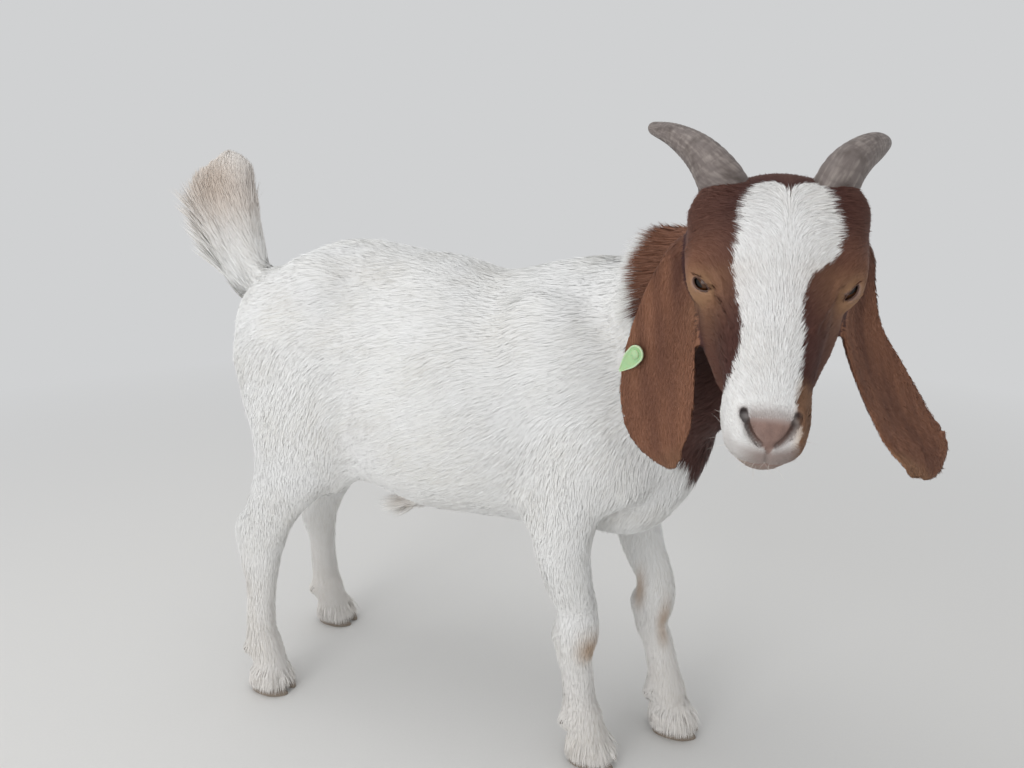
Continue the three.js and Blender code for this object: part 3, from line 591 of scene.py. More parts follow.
# least easing where the face has its fine folds
local = toHead(points)
detail = np.maximum(1 - smooth(eyeDistance(local), 20, 30),
                    smooth(local[:, 0], 88, 104) * (shares["head"] > 0.3))
points = relax(points, quads, 1 - 0.85 * detail, 12)

# the skin ends flat on the coronets, where the claws begin
coronet = {"height": 22, "normal": unit((-0.2, 0, 0.98)), "near": (60, 40)}


# for each foot, which points are near it, and x and y of its middle
def atFeet(points, reach):
    for leg in (*hindLegs.values(), *foreLegs.values()):
        x, y, _ = leg["hoof"]
        yield (np.abs(points[:, 0] - x) < reach[0]) & (np.abs(points[:, 1] - y) < reach[1]), x, y


for near, x, y in atFeet(points, coronet["near"]):
    past = (points - (x, y, coronet["height"])) @ coronet["normal"]
    low = near & (points[:, 2] < 60) & (past < 0)
    points[low] -= past[low, None] * coronet["normal"]
print("skin", len(points), "points")


def addPiece(name, mesh, material):
    mesh.materials.append(material)
    made = bpy.data.objects.new(name, mesh)
    bpy.context.scene.collection.objects.link(made)
    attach(made, "root")
    return made


def solidPiece(name, points, faces, material, slot):
    mesh = bpy.data.meshes.new(name)
    mesh.from_pydata(toFrame(points).tolist(), [], [list(face) for face in faces])
    mesh.polygons.foreach_set("use_smooth", np.ones(len(mesh.polygons), bool))
    mesh.update()
    return addPiece(name, mesh, material)


def circle(count):
    return np.linspace(0, 2 * math.pi, count, endpoint=False)


# Quads between rings, each turning left round the way that they run, and fans to two end points.
def loft(rings):
    rows, columns = rings.shape[:2]
    at = np.arange(rows * columns).reshape(rows, columns)
    ahead = np.roll(at, -1, 1)
    walls = np.stack([at[:-1], ahead[:-1], ahead[1:], at[1:]], -1).reshape(-1, 4).tolist()
    foot = rows * columns
    ends = [(foot, b, a) for a, b in zip(at[0], ahead[0])]
    ends += [(foot + 1, a, b) for a, b in zip(at[-1], ahead[-1])]
    return np.vstack([rings.reshape(-1, 3), rings[:1].mean(1), rings[-1:].mean(1)]), walls + ends


def putAttribute(made, name, kind, field, values):
    attribute = made.data.attributes.new(name, kind, "POINT")
    attribute.data.foreach_set(field, np.ascontiguousarray(values, np.float32).ravel())


# edges of the blaze to the goat's right and left, along the face from the poll to the muzzle
blaze = {
    "alongRight": (-68, -64, -44, -16, -4, 11, 29, 52, 72, 84, 92, 98, 104),
    "right": (-12, -17, -25, -27, -30, -30, -26, -21, -21, -25, -29, -38, -60),
    "alongLeft": (-68, -66, -47, -31, -15, -3, 8, 18, 36, 53, 60, 70, 83, 92, 102, 112, 120),
    "left": (20, 28, 36, 40, 42, 41, 31, 21, 18, 19, 21, 20, 19, 21, 18, 19, 22),
    "notchAt": 6, "notchFoot": -55, "notchSlope": 0.85, "top": -67,
}
# where white gives way to brown round the neck: height, and x of the border there
neckBorder = {"height": (321, 322, 378, 450, 553, 590, 625, 700),
              "x": (400, 297, 289, 268, 240, 234, 248, 258)}
stains = (  # centre, size, strength
    ((198, -70, 163), (15, 16, 20), 0.8), ((228, 38, 186), (10, 12, 26), 0.65),
    ((261, 40, 146), (10, 9, 32), 0.7), ((203, -66, 152), (9, 9, 9), 0.9),
    ((-262, -84, 150), (14, 14, 60), 0.15), ((-322, 0, 655), (58, 60, 56), 0.62),
    ((-70, 0, 272), (26, 20, 16), 0.35),
)


def ripple(points, size, seed):
    rng = np.random.default_rng(seed)
    value = np.zeros(len(points))
    for _ in range(5):
        way = unit(rng.normal(size=3)) * rng.uniform(0.7, 1.5)
        value += np.sin(points @ way * (2 * math.pi / size) + rng.uniform(0, 6.3))
    return value / 2.2


def bell(value, wide, power=2):
    return np.exp(-((value / wide) ** power))


def lineDistance(points, line):
    nearest = np.full(len(points), np.inf)
    for a, b in zip(np.array(line, float)[:, :3], np.array(line, float)[1:, :3]):
        share = np.clip((points - a) @ (b - a) / ((b - a) @ (b - a)), 0, 1)
        away = np.linalg.norm(points - a - share[:, None] * (b - a), axis=1)
        nearest = np.minimum(nearest, away)
    return nearest


# both sides of the face folded onto the goat's left one, about the given middle
def folded(local, middle):
    local = local * 1.0
    local[:, 1] = np.abs(local[:, 1] - middle)
    return local


def nostrilDistance(local):
    return lineDistance(folded(local, noseMiddle), nostrilLine)


def earAcross(points, name):
    ear = earLines[name]
    stations = np.array(ear["stations"])[::-1]
    middle = np.stack([np.interp(points[:, 2], stations[:, 2], stations[:, k]) for k in (0, 1)], 1)
    half = np.interp(points[:, 2], stations[:, 2], stations[:, 3])
    return (points[:, :2] - middle) @ unit(ear["width"])[:2] / half


# 1 where the blaze is, 0 in the brown beside it, and how far inside its edge
def blazeAt(points, local, ragged):
    x, y, z = local.T
    inward = np.minimum(y - np.interp(x, blaze["alongRight"], blaze["right"]),
                        np.interp(x, blaze["alongLeft"], blaze["left"]) - y)
    inward = np.minimum(inward, x - blaze["top"])
    notch = np.abs(y - blaze["notchAt"]) - (blaze["notchFoot"] - x) * blaze["notchSlope"]
    inward = np.where(x < blaze["notchFoot"], np.minimum(inward, notch), inward)
    inward = inward + ripple(points, 9, 3) * 0.7 + ragged
    under = np.maximum(z + 26, (x - 98) * 2)  # white ends on the cheek, but not round the mouth
    return smooth(np.minimum(inward, under), -0.8, 0.8), inward


# four amounts from 0 to 1: chestnut, how dark it is (partly painted shade), tan, and grey (partly painted
# shade round the nostrils); ragged frays the borders, in mm
def markingAt(points, shares, ragged=0.0):
    local = toHead(points)
    x, y, z = local.T
    isEar = shares["earRight"] + shares["earLeft"] > 0.5
    onHead = shares["head"] + shares["earRight"] + shares["earLeft"] > 0.5
    white, inward = blazeAt(points, local, ragged)
    border = points[:, 0] - np.interp(points[:, 2], neckBorder["height"], neckBorder["x"])
    neck = smooth(border + ripple(points, 26, 4) * 2 + ragged * 2, -1.5, 1.5)
    chestnut = np.where(isEar, 1, np.where(onHead, 1 - white, neck))
    beside = np.exp(-np.clip(-inward, 0, 60) / 22)  # maroon along the blaze
    fromEye = eyeDistance(local)
    eye = bell(fromEye, 30)
    face = np.clip(0.72 + 0.2 * beside - 0.75 * eye - 0.15 * smooth(-z, 10, 40), 0, 1)
    # painted shade: brown hair off the head is darker low down, under the head and jaw, and lighter
    # higher up on the crest
    throat = 0.88 - 0.6 * smooth(points[:, 2], 535, 585)
    # painted shade along the line where an ear lies against the cheek
    earShade = smooth(shares["earRight"] + shares["earLeft"], 0.03, 0.35)
    dark = np.maximum(np.where(onHead, face, throat), earShade)
    for name in sides:
        # painted shade down the fold in the middle of each ear, faint streaks along it, and darker
        # towards its root at the top
        foldShadeAndStreaks = 0.22 * bell(earAcross(points, name), 0.35)
        foldShadeAndStreaks = foldShadeAndStreaks + 0.12 * ripple(points * (3, 3, 0.25), 30, 8)
        top = smooth(points[:, 2], 560, 620) * 0.35
        dark = np.where(shares["ear" + name.title()] > 0.5, 0.16 + foldShadeAndStreaks + top, dark)
    tan = [(1 - smooth(points[:, 2], 15, 260)) * 0.14]  # soil towards the feet
    for centre, size, strength in stains:
        reach = (((points - centre) / size) ** 2).sum(1)
        tan.append(strength * np.exp(-reach * 1.2))
    chin = np.where(onHead, 0.5 * smooth(x, 92, 112) * smooth(-z, 18, 32), 0)
    tan += [
        np.where((x > 84) & onHead, 0.6 * smooth(y, 14, 22) * smooth(x, 84, 96), 0),  # left lip
        chin,
        np.where(onHead, 0.6 * eye * smooth(x, 2, 14) + 0.7 * bell(fromEye - 15, 5), 0),
    ]
    overPad = smooth(x, 104, 117) * (1 - smooth(x, 123, 129))
    overPad = overPad * smooth(20 - np.abs(y - noseMiddle), 0, 9) * smooth(z, -2, 6)
    lips = smooth(x, 114, 126) * smooth(-z, -5, 6) * (0.3 + 0.55 * smooth(y, -22, -2))
    fleck = 0.14 * np.clip(np.abs(ragged), 0, 2)
    # painted shade on the hair round the wing of each nostril
    nostrilWingShade = 0.8 * bell(nostrilDistance(local), 4)
    grey = np.where(onHead, np.maximum.reduce(
        np.broadcast_arrays(nostrilWingShade, overPad * 0.7, chin * 0.7, lips, fleck)), 0)
    return np.clip(np.stack([chestnut, dark, np.maximum.reduce(tan), grey], 1), 0, 1)


# half width of the nose's pad along the face
nosePad = {"x": (108, 113, 120, 125, 129.4, 132.4, 135, 138),
           "half": (14, 17, 15.5, 12.5, 8.8, 5, 2.2, 1.0)}


# hairless skin: the pad of the nose, the lips and the rims of the lids
def bareAt(points, shares):
    local = toHead(points)
    x, y, z = local.T
    inside = np.interp(x, nosePad["x"], nosePad["half"]) - np.abs(y - noseMiddle)
    pad = smooth(inside, -1.0, 1.0) * smooth(x, 113, 121) * smooth(z, -8, -3)
    lip = 0.8 * bell(z + 24, 5) * smooth(x, 100, 124)
    rim = 1 - smooth(eyeDistance(local), eyeball["radius"] + 1.6, eyeball["radius"] + 3.0)
    return np.maximum(np.maximum(pad, lip) * (shares["head"] > 0.5), rim)


# painted shade: the dark insides of the nostrils, of the line of the mouth and of the groove in the lip,
# and a soft shade round each nostril's wing
def creaseShadeAt(points):
    local = toHead(points)
    wide = np.interp(local[:, 0], (113, 117, 121, 126, 132), (2.8, 3.2, 2.5, 2.0, 1.7))
    fromNostril = nostrilDistance(local)
    return np.minimum(np.maximum.reduce([
        1.5 * bell(fromNostril, wide, 3), 0.28 * bell(fromNostril, 5),
        0.6 * bell(lineDistance(folded(local, 0), mouthLine), 1.4),
        0.5 * bell(lineDistance(local, lipGroove), 1.3)]), 1)


def linear(hexColour):
    channels = [int(hexColour[i:i + 2], 16) / 255 for i in (1, 3, 5)]
    return tuple(c / 12.92 if c <= 0.04045 else ((c + 0.055) / 1.055) ** 2.4
                 for c in channels) + (1,)


# an input is a socket to link, an sRGB hex colour or a value; the rest are the node's settings
def addNode(tree, kind, inputs=(), **settings):
    node = tree.nodes.new("ShaderNode" + kind)
    for name, value in settings.items():
        setattr(node, name, value)
    for name, value in dict(inputs).items():
        if isinstance(value, bpy.types.NodeSocket):
            tree.links.new(value, node.inputs[name])
        else:
            node.inputs[name].default_value = linear(value) if isinstance(value, str) else value
    return node


def newMaterial(name, sockets):
    material = bpy.data.materials.new(name)
    material.use_nodes = True
    shader = material.node_tree.nodes["Principled BSDF"]
    for socket, value in sockets.items():
        shader.inputs[socket].default_value = value
    return material, material.node_tree, shader


# lays colours over a first one, each by its share, and raises a height as a bump
def paint(tree, shader, colour, layers, height=None, bump=(0, 0)):
    for share, over in layers:
        mixed = addNode(tree, "Mix", {0: share, 6: colour, 7: over}, data_type="RGBA")
        colour = mixed.outputs[2]
    tree.links.new(colour, shader.inputs["Base Color"])
    if height is not None:
        raised = addNode(tree, "Bump", {"Height": height, "Strength": bump[0], "Distance": bump[1]})
        tree.links.new(raised.outputs["Normal"], shader.inputs["Normal"])


coatColours = {"white": "#f8f8f7", "whiteShade": "#eceae5", "chestnut": "#85583f",
               "chestnutLight": "#9d6f58", "maroon": "#452726", "tan": "#b3906a",
               "fawn": "#a07a5c", "grey": "#8a746c"}


# the hair's colour from its markings; each strand is a little lighter or darker than the next
def coatColour(tree, where):
    marking = addNode(tree, "Attribute", attribute_name="marking")
    amount = addNode(tree, "SeparateColor", {"Color": marking.outputs["Color"]}).outputs
    strand = addNode(tree, "Attribute", attribute_name="strand").outputs["Fac"]
    # soft dusty patches about 60 mm across
    patches = addNode(tree, "TexNoise", {"Vector": where, "Scale": 1000 / 60, "Detail": 2.0})
    dusty = addNode(tree, "MapRange", {"Value": patches.outputs["Fac"], "From Min": 0.35,
                                       "From Max": 0.75}).outputs["Result"]
    shade = addNode(tree, "Math", {0: strand, 1: dusty}, operation="MULTIPLY").outputs[0]
    # the green amount darkens the brown towards maroon, partly its own colour and partly painted shade on
    # the throat, in the ears' folds and where the ears meet the cheek; the grey is partly painted shade
    # round the nostrils
    coats = (
        ("white", (shade, "whiteShade"), (amount["Blue"], "tan"), (marking.outputs["Alpha"], "grey")),
        ("chestnut", (strand, "chestnutLight"), (amount["Green"], "maroon"), (amount["Blue"], "fawn")),
    )
    colours = []
    for first, *layers in coats:
        colour = coatColours[first]
        for share, over in layers:
            mixed = addNode(tree, "Mix", {0: share, 6: colour, 7: coatColours[over]}, data_type="RGBA")
            colour = mixed.outputs[2]
        colours.append(colour)
    white, brown = colours
    return addNode(tree, "Mix", {0: amount["Red"], 6: white, 7: brown}, data_type="RGBA").outputs[2]


def makeHair():
    # goat hair: round, scaly keratin fibres with a soft sheen along them, not a mirror gloss
    material, tree, shader = newMaterial("goatHair", {"Roughness": 0.6, "Specular IOR Level": 0.25})
    where = addNode(tree, "TexCoord").outputs["Object"]
    paint(tree, shader, coatColour(tree, where), ())
    return material


def makeSkin():
    # hide under short hair; bare, moist and finely pebbled on the nose, dark and dry on the lids
    material, tree, shader = newMaterial("goatSkin", {"Specular IOR Level": 0.35})
    where = addNode(tree, "TexCoord").outputs["Object"]
    bare = addNode(tree, "Attribute", attribute_name="bare").outputs["Fac"]
    crease = addNode(tree, "Attribute", attribute_name="crease").outputs["Fac"]
    # pigment in patches about 8 mm across, pebbles of 1.1 mm, and short hairs 1.4 mm apart
    pigment = addNode(tree, "TexNoise", {"Vector": where, "Scale": 1000 / 8, "Detail": 3.0})
    pebbles = addNode(tree, "TexVoronoi", {"Vector": where, "Scale": 1000 / 1.1})
    hairs = addNode(tree, "TexNoise", {"Vector": where, "Scale": 1000 / 1.4, "Detail": 3.0})
    hide = addNode(tree, "Mix", {0: pigment.outputs["Fac"], 6: "#66504a", 7: "#a5877b"},
                   data_type="RGBA").outputs[2]
    height = addNode(tree, "Mix", {0: bare, 2: hairs.outputs["Fac"], 3: pebbles.outputs["Distance"]},
                     data_type="FLOAT").outputs[0]
    # the creases are painted near-black, as painted shade
    paint(tree, shader, coatColour(tree, where), ((bare, hide), (crease, "#241817")), height,
          (0.4, 0.0005))
    gloss = addNode(tree, "MapRange", {"Value": bare, "To Min": 0.75, "To Max": 0.42})
    tree.links.new(gloss.outputs["Result"], shader.inputs["Roughness"])
    return material


hair = makeHair()
skin = solidPiece("skin", points, quads, makeSkin(), "coat_white")
fleshNodes = ["trunk", "neck", "head", "tail", "ear_right", "ear_left"]
fleshNodes += [f"leg_{pair}_{name}_{part}" for pair in ("hind", "front") for name in sides
               for part in ("upper", "lower")]
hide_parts(*fleshNodes)

shares = groupShares(points)
bare = bareAt(points, shares)
crease = creaseShadeAt(points)
putAttribute(skin, "marking", "FLOAT_COLOR", "color", markingAt(points, shares))
putAttribute(skin, "bare", "FLOAT", "value", bare)
putAttribute(skin, "crease", "FLOAT", "value", crease)
putAttribute(skin, "strand", "FLOAT", "value", np.full(len(points), 0.5))

bpy.context.view_layer.objects.active = skin
skin.select_set(True)
bpy.ops.object.mode_set(mode="EDIT")
bpy.ops.mesh.select_all(action="SELECT")
bpy.ops.uv.smart_project(angle_limit=1.15, island_margin=0.002)
bpy.ops.object.mode_set(mode="OBJECT")
skin.data.uv_layers[0].name = "OFBake"
skinMap = np.empty(len(skin.data.loops) * 2, np.float32)
skin.data.uv_layers[0].uv.foreach_get("vector", skinMap)
skinMap = skinMap.reshape(-1, 4, 2)
normals = np.empty(len(points) * 3, np.float32)
skin.data.vertex_normals.foreach_get("vector", normals)
normals = normals.reshape(-1, 3)
print("skin mapped")


# rows of x, y and z, any of them one number for all
def stacked(*rows):
    return np.stack(np.broadcast_arrays(*rows), 1)


# The hair of the face runs up from the nose, fans out over the brow and parts along the crown.
def lieOnHead(local):
    x, y, z = local.T
    crown = smooth(-x, -14, 24)
    out = np.clip((y - 6) / 16, -1, 1) * (0.25 + 0.95 * crown) + np.clip((y - 4) / 40, -1, 1) * 0.3
    top = stacked(0.72 * crown - 1, out, 0)
    low = (smooth(-z, -14, 8) * (1 - 0.8 * smooth(x, 90, 110)))[:, None]
    poll = smooth(-x, 60, 72)[:, None]
    lie = (top * (1 - low) + np.array((-1, 0, -0.55)) * low) * (1 - poll)
    lie = lie + np.array((-1, 0, -0.4)) * poll
    # round the mouth it runs out from the nose and down
    mouth = (smooth(x, 116, 128) * smooth(-z, -6, 3))[:, None]
    lie = lie * (1 - mouth) + stacked(-0.5, (y - noseMiddle) / 14, -1) * mouth
    return unit(lie) @ headHome[1].T


def lieAt(points, shares):
    x, y, z = points.T
    legBand = np.maximum(smooth(-x, 70, 130), smooth(x, 95, 150)) * smooth(-z, -500, -350)
    trunk = stacked(-1, 0, -0.25 - 0.25 * smooth(-z, -560, -420))
    trunk = trunk * (1 - legBand[:, None]) + np.array((-0.35, 0, -1)) * legBand[:, None]
    chest = (smooth(x, 200, 250) * smooth(-z, -420, -380))[:, None]
    mane = (smooth(z, 530, 570) * (1 - smooth(x, 262, 290)))[:, None]
    ways = {
        "trunk": trunk * (1 - chest) + np.array((-0.2, 0, -1)) * chest,
        "neck": np.array((-0.72, 0.45, -0.5)) * (1 - mane) + stacked(-1, -0.35, (z - 574) / 55) * mane,
        "tail": stacked(-0.5 + 0.45 * smooth(z, 600, 670), 0, 1),
        "head": lieOnHead(toHead(points)),
        "hind": np.array([(-0.14, 0, -1)]),
        "fore": np.array([(-0.05, 0, -1)]),
    }
    lie = np.zeros((len(x), 3))
    for name, share in shares.items():
        if kinds[name] == "ear":
            stations = np.array(earLines[name[3:].lower()]["stations"])
            way = stations[-2, :3] - stations[2, :3]
        else:
            way = ways[kinds[name]]
        lie += unit(way) * share[:, None]
    return lie


lie = lieAt(points, shares)
corners = points[quads]
diagonals = corners[:, 2] - corners[:, 0], corners[:, 3] - corners[:, 1]
faceArea = 0.5 * np.linalg.norm(np.cross(*diagonals), axis=1)
faceShares = [share[quads].mean(1) for share in shares.values()]
main = np.array(list(groups))[np.argmax(np.stack(faceShares), 0)]
faceBare = np.maximum(bare, np.minimum(crease * 1.7, 1))[quads].mean(1)
faceMiddle = corners.mean(1)
footPast = np.full(len(quads), 99.0)
for near, x, y in atFeet(faceMiddle, coronet["near"]):
    past = (faceMiddle - (x, y, coronet["height"])) @ coronet["normal"]
    footPast = np.where(near, past, footPast)
sole = footPast < 0.4
areas = {name: round(float(faceArea[main == name].sum() / 100)) for name in groups}
print("areas", areas, "cm2")


# joined strips, each a quad and a triangle: two root points, two half way along and one at the tip
def stripPiece(name, rows, facing, place, marking, strand):
    count = len(rows)
    first = np.arange(count)[:, None]
    mesh = bpy.data.meshes.new(name)
    mesh.vertices.add(count * 5)
    mesh.vertices.foreach_set("co", toFrame(rows.reshape(-1, 3)).astype(np.float32).ravel())
    mesh.loops.add(count * 7)
    corner = (first * 5 + np.array((0, 1, 2, 3, 3, 2, 4))).astype(np.int32)
    mesh.loops.foreach_set("vertex_index", corner.ravel())
    mesh.polygons.add(count * 2)
    start = (first * 7 + np.array((0, 4))).astype(np.int32)
    mesh.polygons.foreach_set("loop_start", start.ravel())
    mesh.polygons.foreach_set("use_smooth", np.ones(count * 2, bool))
    mesh.update(calc_edges=True)
    # each strip's own corner of the bake's map, round the place of its root on the skin
    patch = ((-1, -1), (1, -1), (1, 0.3), (-1, 0.3), (-1, 0.3), (1, 0.3), (0, 1))
    bake = mesh.uv_layers.new(name="OFBake")
    placed = (place[:, None] + 0.0015 * np.array(patch)).astype(np.float32)
    bake.uv.foreach_set("vector", placed.ravel())
    made = addPiece(name, mesh, hair)
    putAttribute(made, "custom_normal", "FLOAT_VECTOR", "vector", facing)
    putAttribute(made, "marking", "FLOAT_COLOR", "color", np.repeat(marking, 5, 0))
    putAttribute(made, "strand", "FLOAT", "value", np.repeat(strand, 5))
    print(name, count, "tufts")


# the fringe falls outside the claws: pushes its points out of an oval round each hoof
clawOval = {"toe": 30, "slope": 0.62, "heel": 26, "half": 23.2, "from": 32, "near": (45, 35)}


def overClaws(ring, foot):
    ring = ring.copy()
    for near, hoofX, hoofY in atFeet(ring, clawOval["near"]):
        near &= (foot > 0.5) & (ring[:, 2] < clawOval["from"])
        x, y, z = (ring[near] - (hoofX, hoofY, 0)).T
        long = np.where(x > 0, clawOval["toe"] - clawOval["slope"] * z, clawOval["heel"])
        away = ((x / long) ** 4 + (y / clawOval["half"]) ** 4) ** 0.25
        push = np.clip(1.01 / np.maximum(away, 0.5), 1, 2)
        ring[near, 0] = hoofX + x * push
        ring[near, 1] = hoofY + y * push
    return ring


# length and width of a tuft in millimetres, and how strongly tips gather in clumps
tufts = {
    "trunk": (20, 0.78, 0.1), "neck": (16, 0.8, 0.14), "head": (8.2, 0.55, 0.22),
    "tail": (34, 0.95, 0.4), "ear": (4.6, 0.55, 0.0), "hind": (10, 0.8, 0.14),
    "fore": (9, 0.8, 0.14),
}
bend = {"mid": 0.45, "rise": 0.7}  # place of a tuft's middle, and how much of its height it has there
strays = {"share": 0.04, "loose": 0.5, "lift": 0.3}
# the fringe over the claws: heights that it and its thicker growth fade out between, and its length
# as a share of the way to the ground
hem = {"fade": (36, 46), "denser": (36, 50), "length": (0.55, 0.98)}
clump = {"size": 5.0, "moreOnTail": 6, "onFace": 0.6}


# Roots spread evenly over faces: where they are, which way is out, the lie of the hair, the place on
# the bake's map, and the share of each group.
def pickRoots(faces, count, rng):
    faces = np.nonzero(faces & ~sole & (faceBare < 0.6))[0]
    denser = 3 * (1 - smooth(faceMiddle[faces, 2], *hem["denser"]))
    weight = np.cumsum(faceArea[faces] * (1 - 0.7 * faceBare[faces]) * (1 + denser))
    chosen = faces[np.searchsorted(weight / weight[-1], (np.arange(count) + rng.random(count)) / count)]
    a, b = rng.random(count), rng.random(count)
    bary = np.stack([(1 - a) * (1 - b), a * (1 - b), a * b, (1 - a) * b], 1)[:, :, None]
    corner = quads[chosen]
    own = {group: (share[corner] * bary[:, :, 0]).sum(1) for group, share in shares.items()}
    return ((points[corner] * bary).sum(1), unit((normals[corner] * bary).sum(1)),
            (lie[corner] * bary).sum(1), (skinMap[chosen] * bary).sum(1), own)


# places where the coat leaves the body: how much of it, how loose, how steep, how much longer
def openPlaces(root, normal, own, legs, onTail, rng):
    x, y, height = root.T
    crown = -toHead(root)[:, 0]
    behind = -normal[:, 0]
    mane = own["neck"] * smooth(height, 536, 556) * smooth(x, 222, 242) * (1 - smooth(height, 612, 636))
    wisps = onTail * smooth(behind, 0.0, 0.7) * (1 - smooth(height, 625, 675))
    return (
        (mane, 0.95, 1.4, 12),
        (own["head"] * smooth(crown, -5, 30) * (1 - smooth(crown, 52, 66)), 0.25, 0.3, 5),
        (own["trunk"] * (1 - smooth(height, 278, 315)) * smooth(-x, -120, 20), 0.3, 0.3, 4),  # belly
        ((np.abs(x + 70) < 16) * (np.abs(y) < 16) * (height < 285), 0.85, 0.5, 14),  # sheath
        (legs * (1 - smooth(height, 45, 90)) * smooth(behind, 0.1, 0.8), 0.4, 0.4, 4),  # fetlock
        (own["trunk"] * smooth(-x, 195, 235) * smooth(behind, 0.4, 0.9), 0.5, 0.5, 6),  # rump
        (onTail * smooth(behind, -0.5, 0.2), 0.55, 0.5, 0),
        (wisps * (rng.random(len(root)) < 0.65), 0.9, 0.8, 13),
    )


def growCoat(name, faces, count, seed):
    rng = np.random.default_rng(seed)
    root, normal, way, place, own = pickRoots(faces, count, rng)
    length, width, gathering = (sum(tufts[kinds[group]][k] * share for group, share in own.items())
                                for k in range(3))
    depth = depthAt(root, own)
    local = toHead(root)
    height = root[:, 2]
    face = own["head"] > 0.5
    # shorter round the eyes, at the tip of the tail, on the muzzle and round the nostrils
    length = length * (1 - 0.55 * (1 - smooth(eyeDistance(local), 16, 34)))
    length = length * (1 - 0.62 * own["tail"] * smooth(height, 625, 685))
    length = length * np.where(face, 1 - 0.5 * smooth(local[:, 0], 80, 118), 1)
    length = length * np.where(face, 0.35 + 0.65 * smooth(nostrilDistance(local), 2, 9), 1)
    legs = own["foreRight"] + own["foreLeft"] + own["hindRight"] + own["hindLeft"]
    onTail = own["tail"] * smooth(height, 515, 560)
    places = openPlaces(root, normal, own, legs, onTail, rng)
    stray = rng.random(count) < strays["share"]
    loose, lift = stray * strays["loose"], stray * strays["lift"] + 0.06
    more = np.zeros(count)
    for amount, looser, steeper, longer in places:
        loose = np.maximum(loose, amount * looser)
        lift = np.maximum(lift, amount * steeper)
        more = more + amount * longer
    # low waves and clumps turn the lie a little
    turn = ripple(root, 70, seed + 1) * 0.13 + ripple(root, 21, seed + 2) * 0.07
    turn = turn + rng.normal(size=count) * 0.06
    way = unit(way - normal * (way * normal).sum(1)[:, None])
    way = unit(way + np.cross(normal, way) * turn[:, None])
    length = (length + more) * rng.uniform(0.75, 1.2, count)
    length = length * (1 + 0.08 * ripple(root, 22, seed + 3))
    # the fringe over the claws hangs to just above the ground, in a jagged hem
    foot = legs * (1 - smooth(height, *hem["fade"]))
    length = np.where(foot > 0.5, (height - 2) * rng.uniform(*hem["length"], count), length)
    way = unit(way + foot[:, None] * ((0.1, 0, -1.2) + normal * 0.1))
    loose = np.maximum(loose, foot)
    cell = ((clump["size"] + clump["moreOnTail"] * onTail) * np.where(face, clump["onFace"], 1))[:, None]
    jittered = root + rng.normal(size=(count, 3)) * 0.3 * cell
    gather = (np.floor(jittered / cell) + 0.5) * cell - root
    gather = (gather - normal * (gather * normal).sum(1)[:, None]) * gathering[:, None]
    reach = rng.uniform(0.5, 1.0, count)
    skyward = np.array((0, 0, 0.6)) * onTail[:, None]  # the tail's thin hair lets light through
    free, lay = loose[:, None], (1 - loose)[:, None]
    rings, facing = [root - normal * 0.4], [unit(normal + skyward)]
    for share, rise in ((bend["mid"], bend["rise"]), (1.0, 1.0)):
        steep = lift * (1.7 - 0.7 * share)
        leaving = root + unit(way + normal * steep[:, None]) * (length * share)[:, None]
        lying = root + way * (length * share)[:, None] + gather * share
        slope = slopeAt(lying, gridAt, 1.0)
        most = 2 + 0.22 * length * share
        wanted = depth * (reach * rise - 1)
        move = (wanted - gridAt(lying)) / np.maximum((slope**2).sum(1), 0.3)
        lying = lying + slope * np.clip(move, -most, most)[:, None]
        ring = lying + (leaving - lying) * free
        ring[:, 2] = np.maximum(ring[:, 2], 1.2)  # clear of the ground
        rings.append(overClaws(ring, foot))
        facing.append(unit(unit(slope) * lay + normal * (free + 0.1) + skyward))
    heading = unit(rings[2] - rings[0])
    across = unit(np.cross(heading, normal))
    roll = rng.normal(size=count) * 0.18 + loose * rng.uniform(-1.4, 1.4, count)
    across = across * np.cos(roll)[:, None] + np.cross(heading, across) * np.sin(roll)[:, None]
    half = (width * 0.5 * rng.uniform(0.7, 1.25, count))[:, None] * across
    rows = np.stack([rings[0] - half * 0.7, rings[0] + half * 0.7, rings[1] + half,
                     rings[1] - half, rings[2]], 1)
    # the coat shades as one soft surface, with a little of each tuft's own tilt
    ownTilt = (0.16 + 0.7 * loose)[:, None, None]
    facing = np.stack([facing[k] for k in (0, 0, 1, 1, 2)], 1)
    facing = unit((1 - ownTilt) * facing + ownTilt * np.cross(across, heading)[:, None])
    ragged = rng.normal(size=count) * 0.8
    marking = markingAt(rings[0] + (rings[2] - rings[0]) * 0.55, own, ragged)
    stripPiece(name, rows, facing, place, marking, rng.random(count))


middleX = faceMiddle[:, 0]
isHead = main == "head"
onRight = toHead(faceMiddle)[:, 1] < 0
growCoat("coatTrunkRear", (main == "trunk") & (middleX < -80), 54000, 11)
growCoat("coatTrunkMiddle", (main == "trunk") & (middleX >= -80) & (middleX < 60), 58000, 12)
growCoat("coatTrunkFront", (main == "trunk") & (middleX >= 60), 54000, 13)
growCoat("coatNeck", main == "neck", 50000, 14)
growCoat("coatHeadRight", isHead & onRight, 50000, 15)
growCoat("coatHeadLeft", isHead & ~onRight, 46000, 16)
growCoat("coatEars", (main == "earRight") | (main == "earLeft"), 36000, 17)
growCoat("coatTail", main == "tail", 24000, 18)
growCoat("coatHindLegs", (main == "hindRight") | (main == "hindLeft"), 58000, 19)
growCoat("coatForeLegs", (main == "foreRight") | (main == "foreLeft"), 54000, 20)
print("coat grown")

# Eyeballs: rings about the way each eye looks, with the bulge of the cornea.
gaze = {"way": (0.50, 0.66, 0.56), "level": (0.87, -0.49, 0), "ball": 13.7, "cornea": 1.1,
        "corneaHalf": 0.62, "rows": 40, "columns": 48}
iris = {"limbus": 0.60, "pupilLong": 0.36, "pupilTall": 0.14}


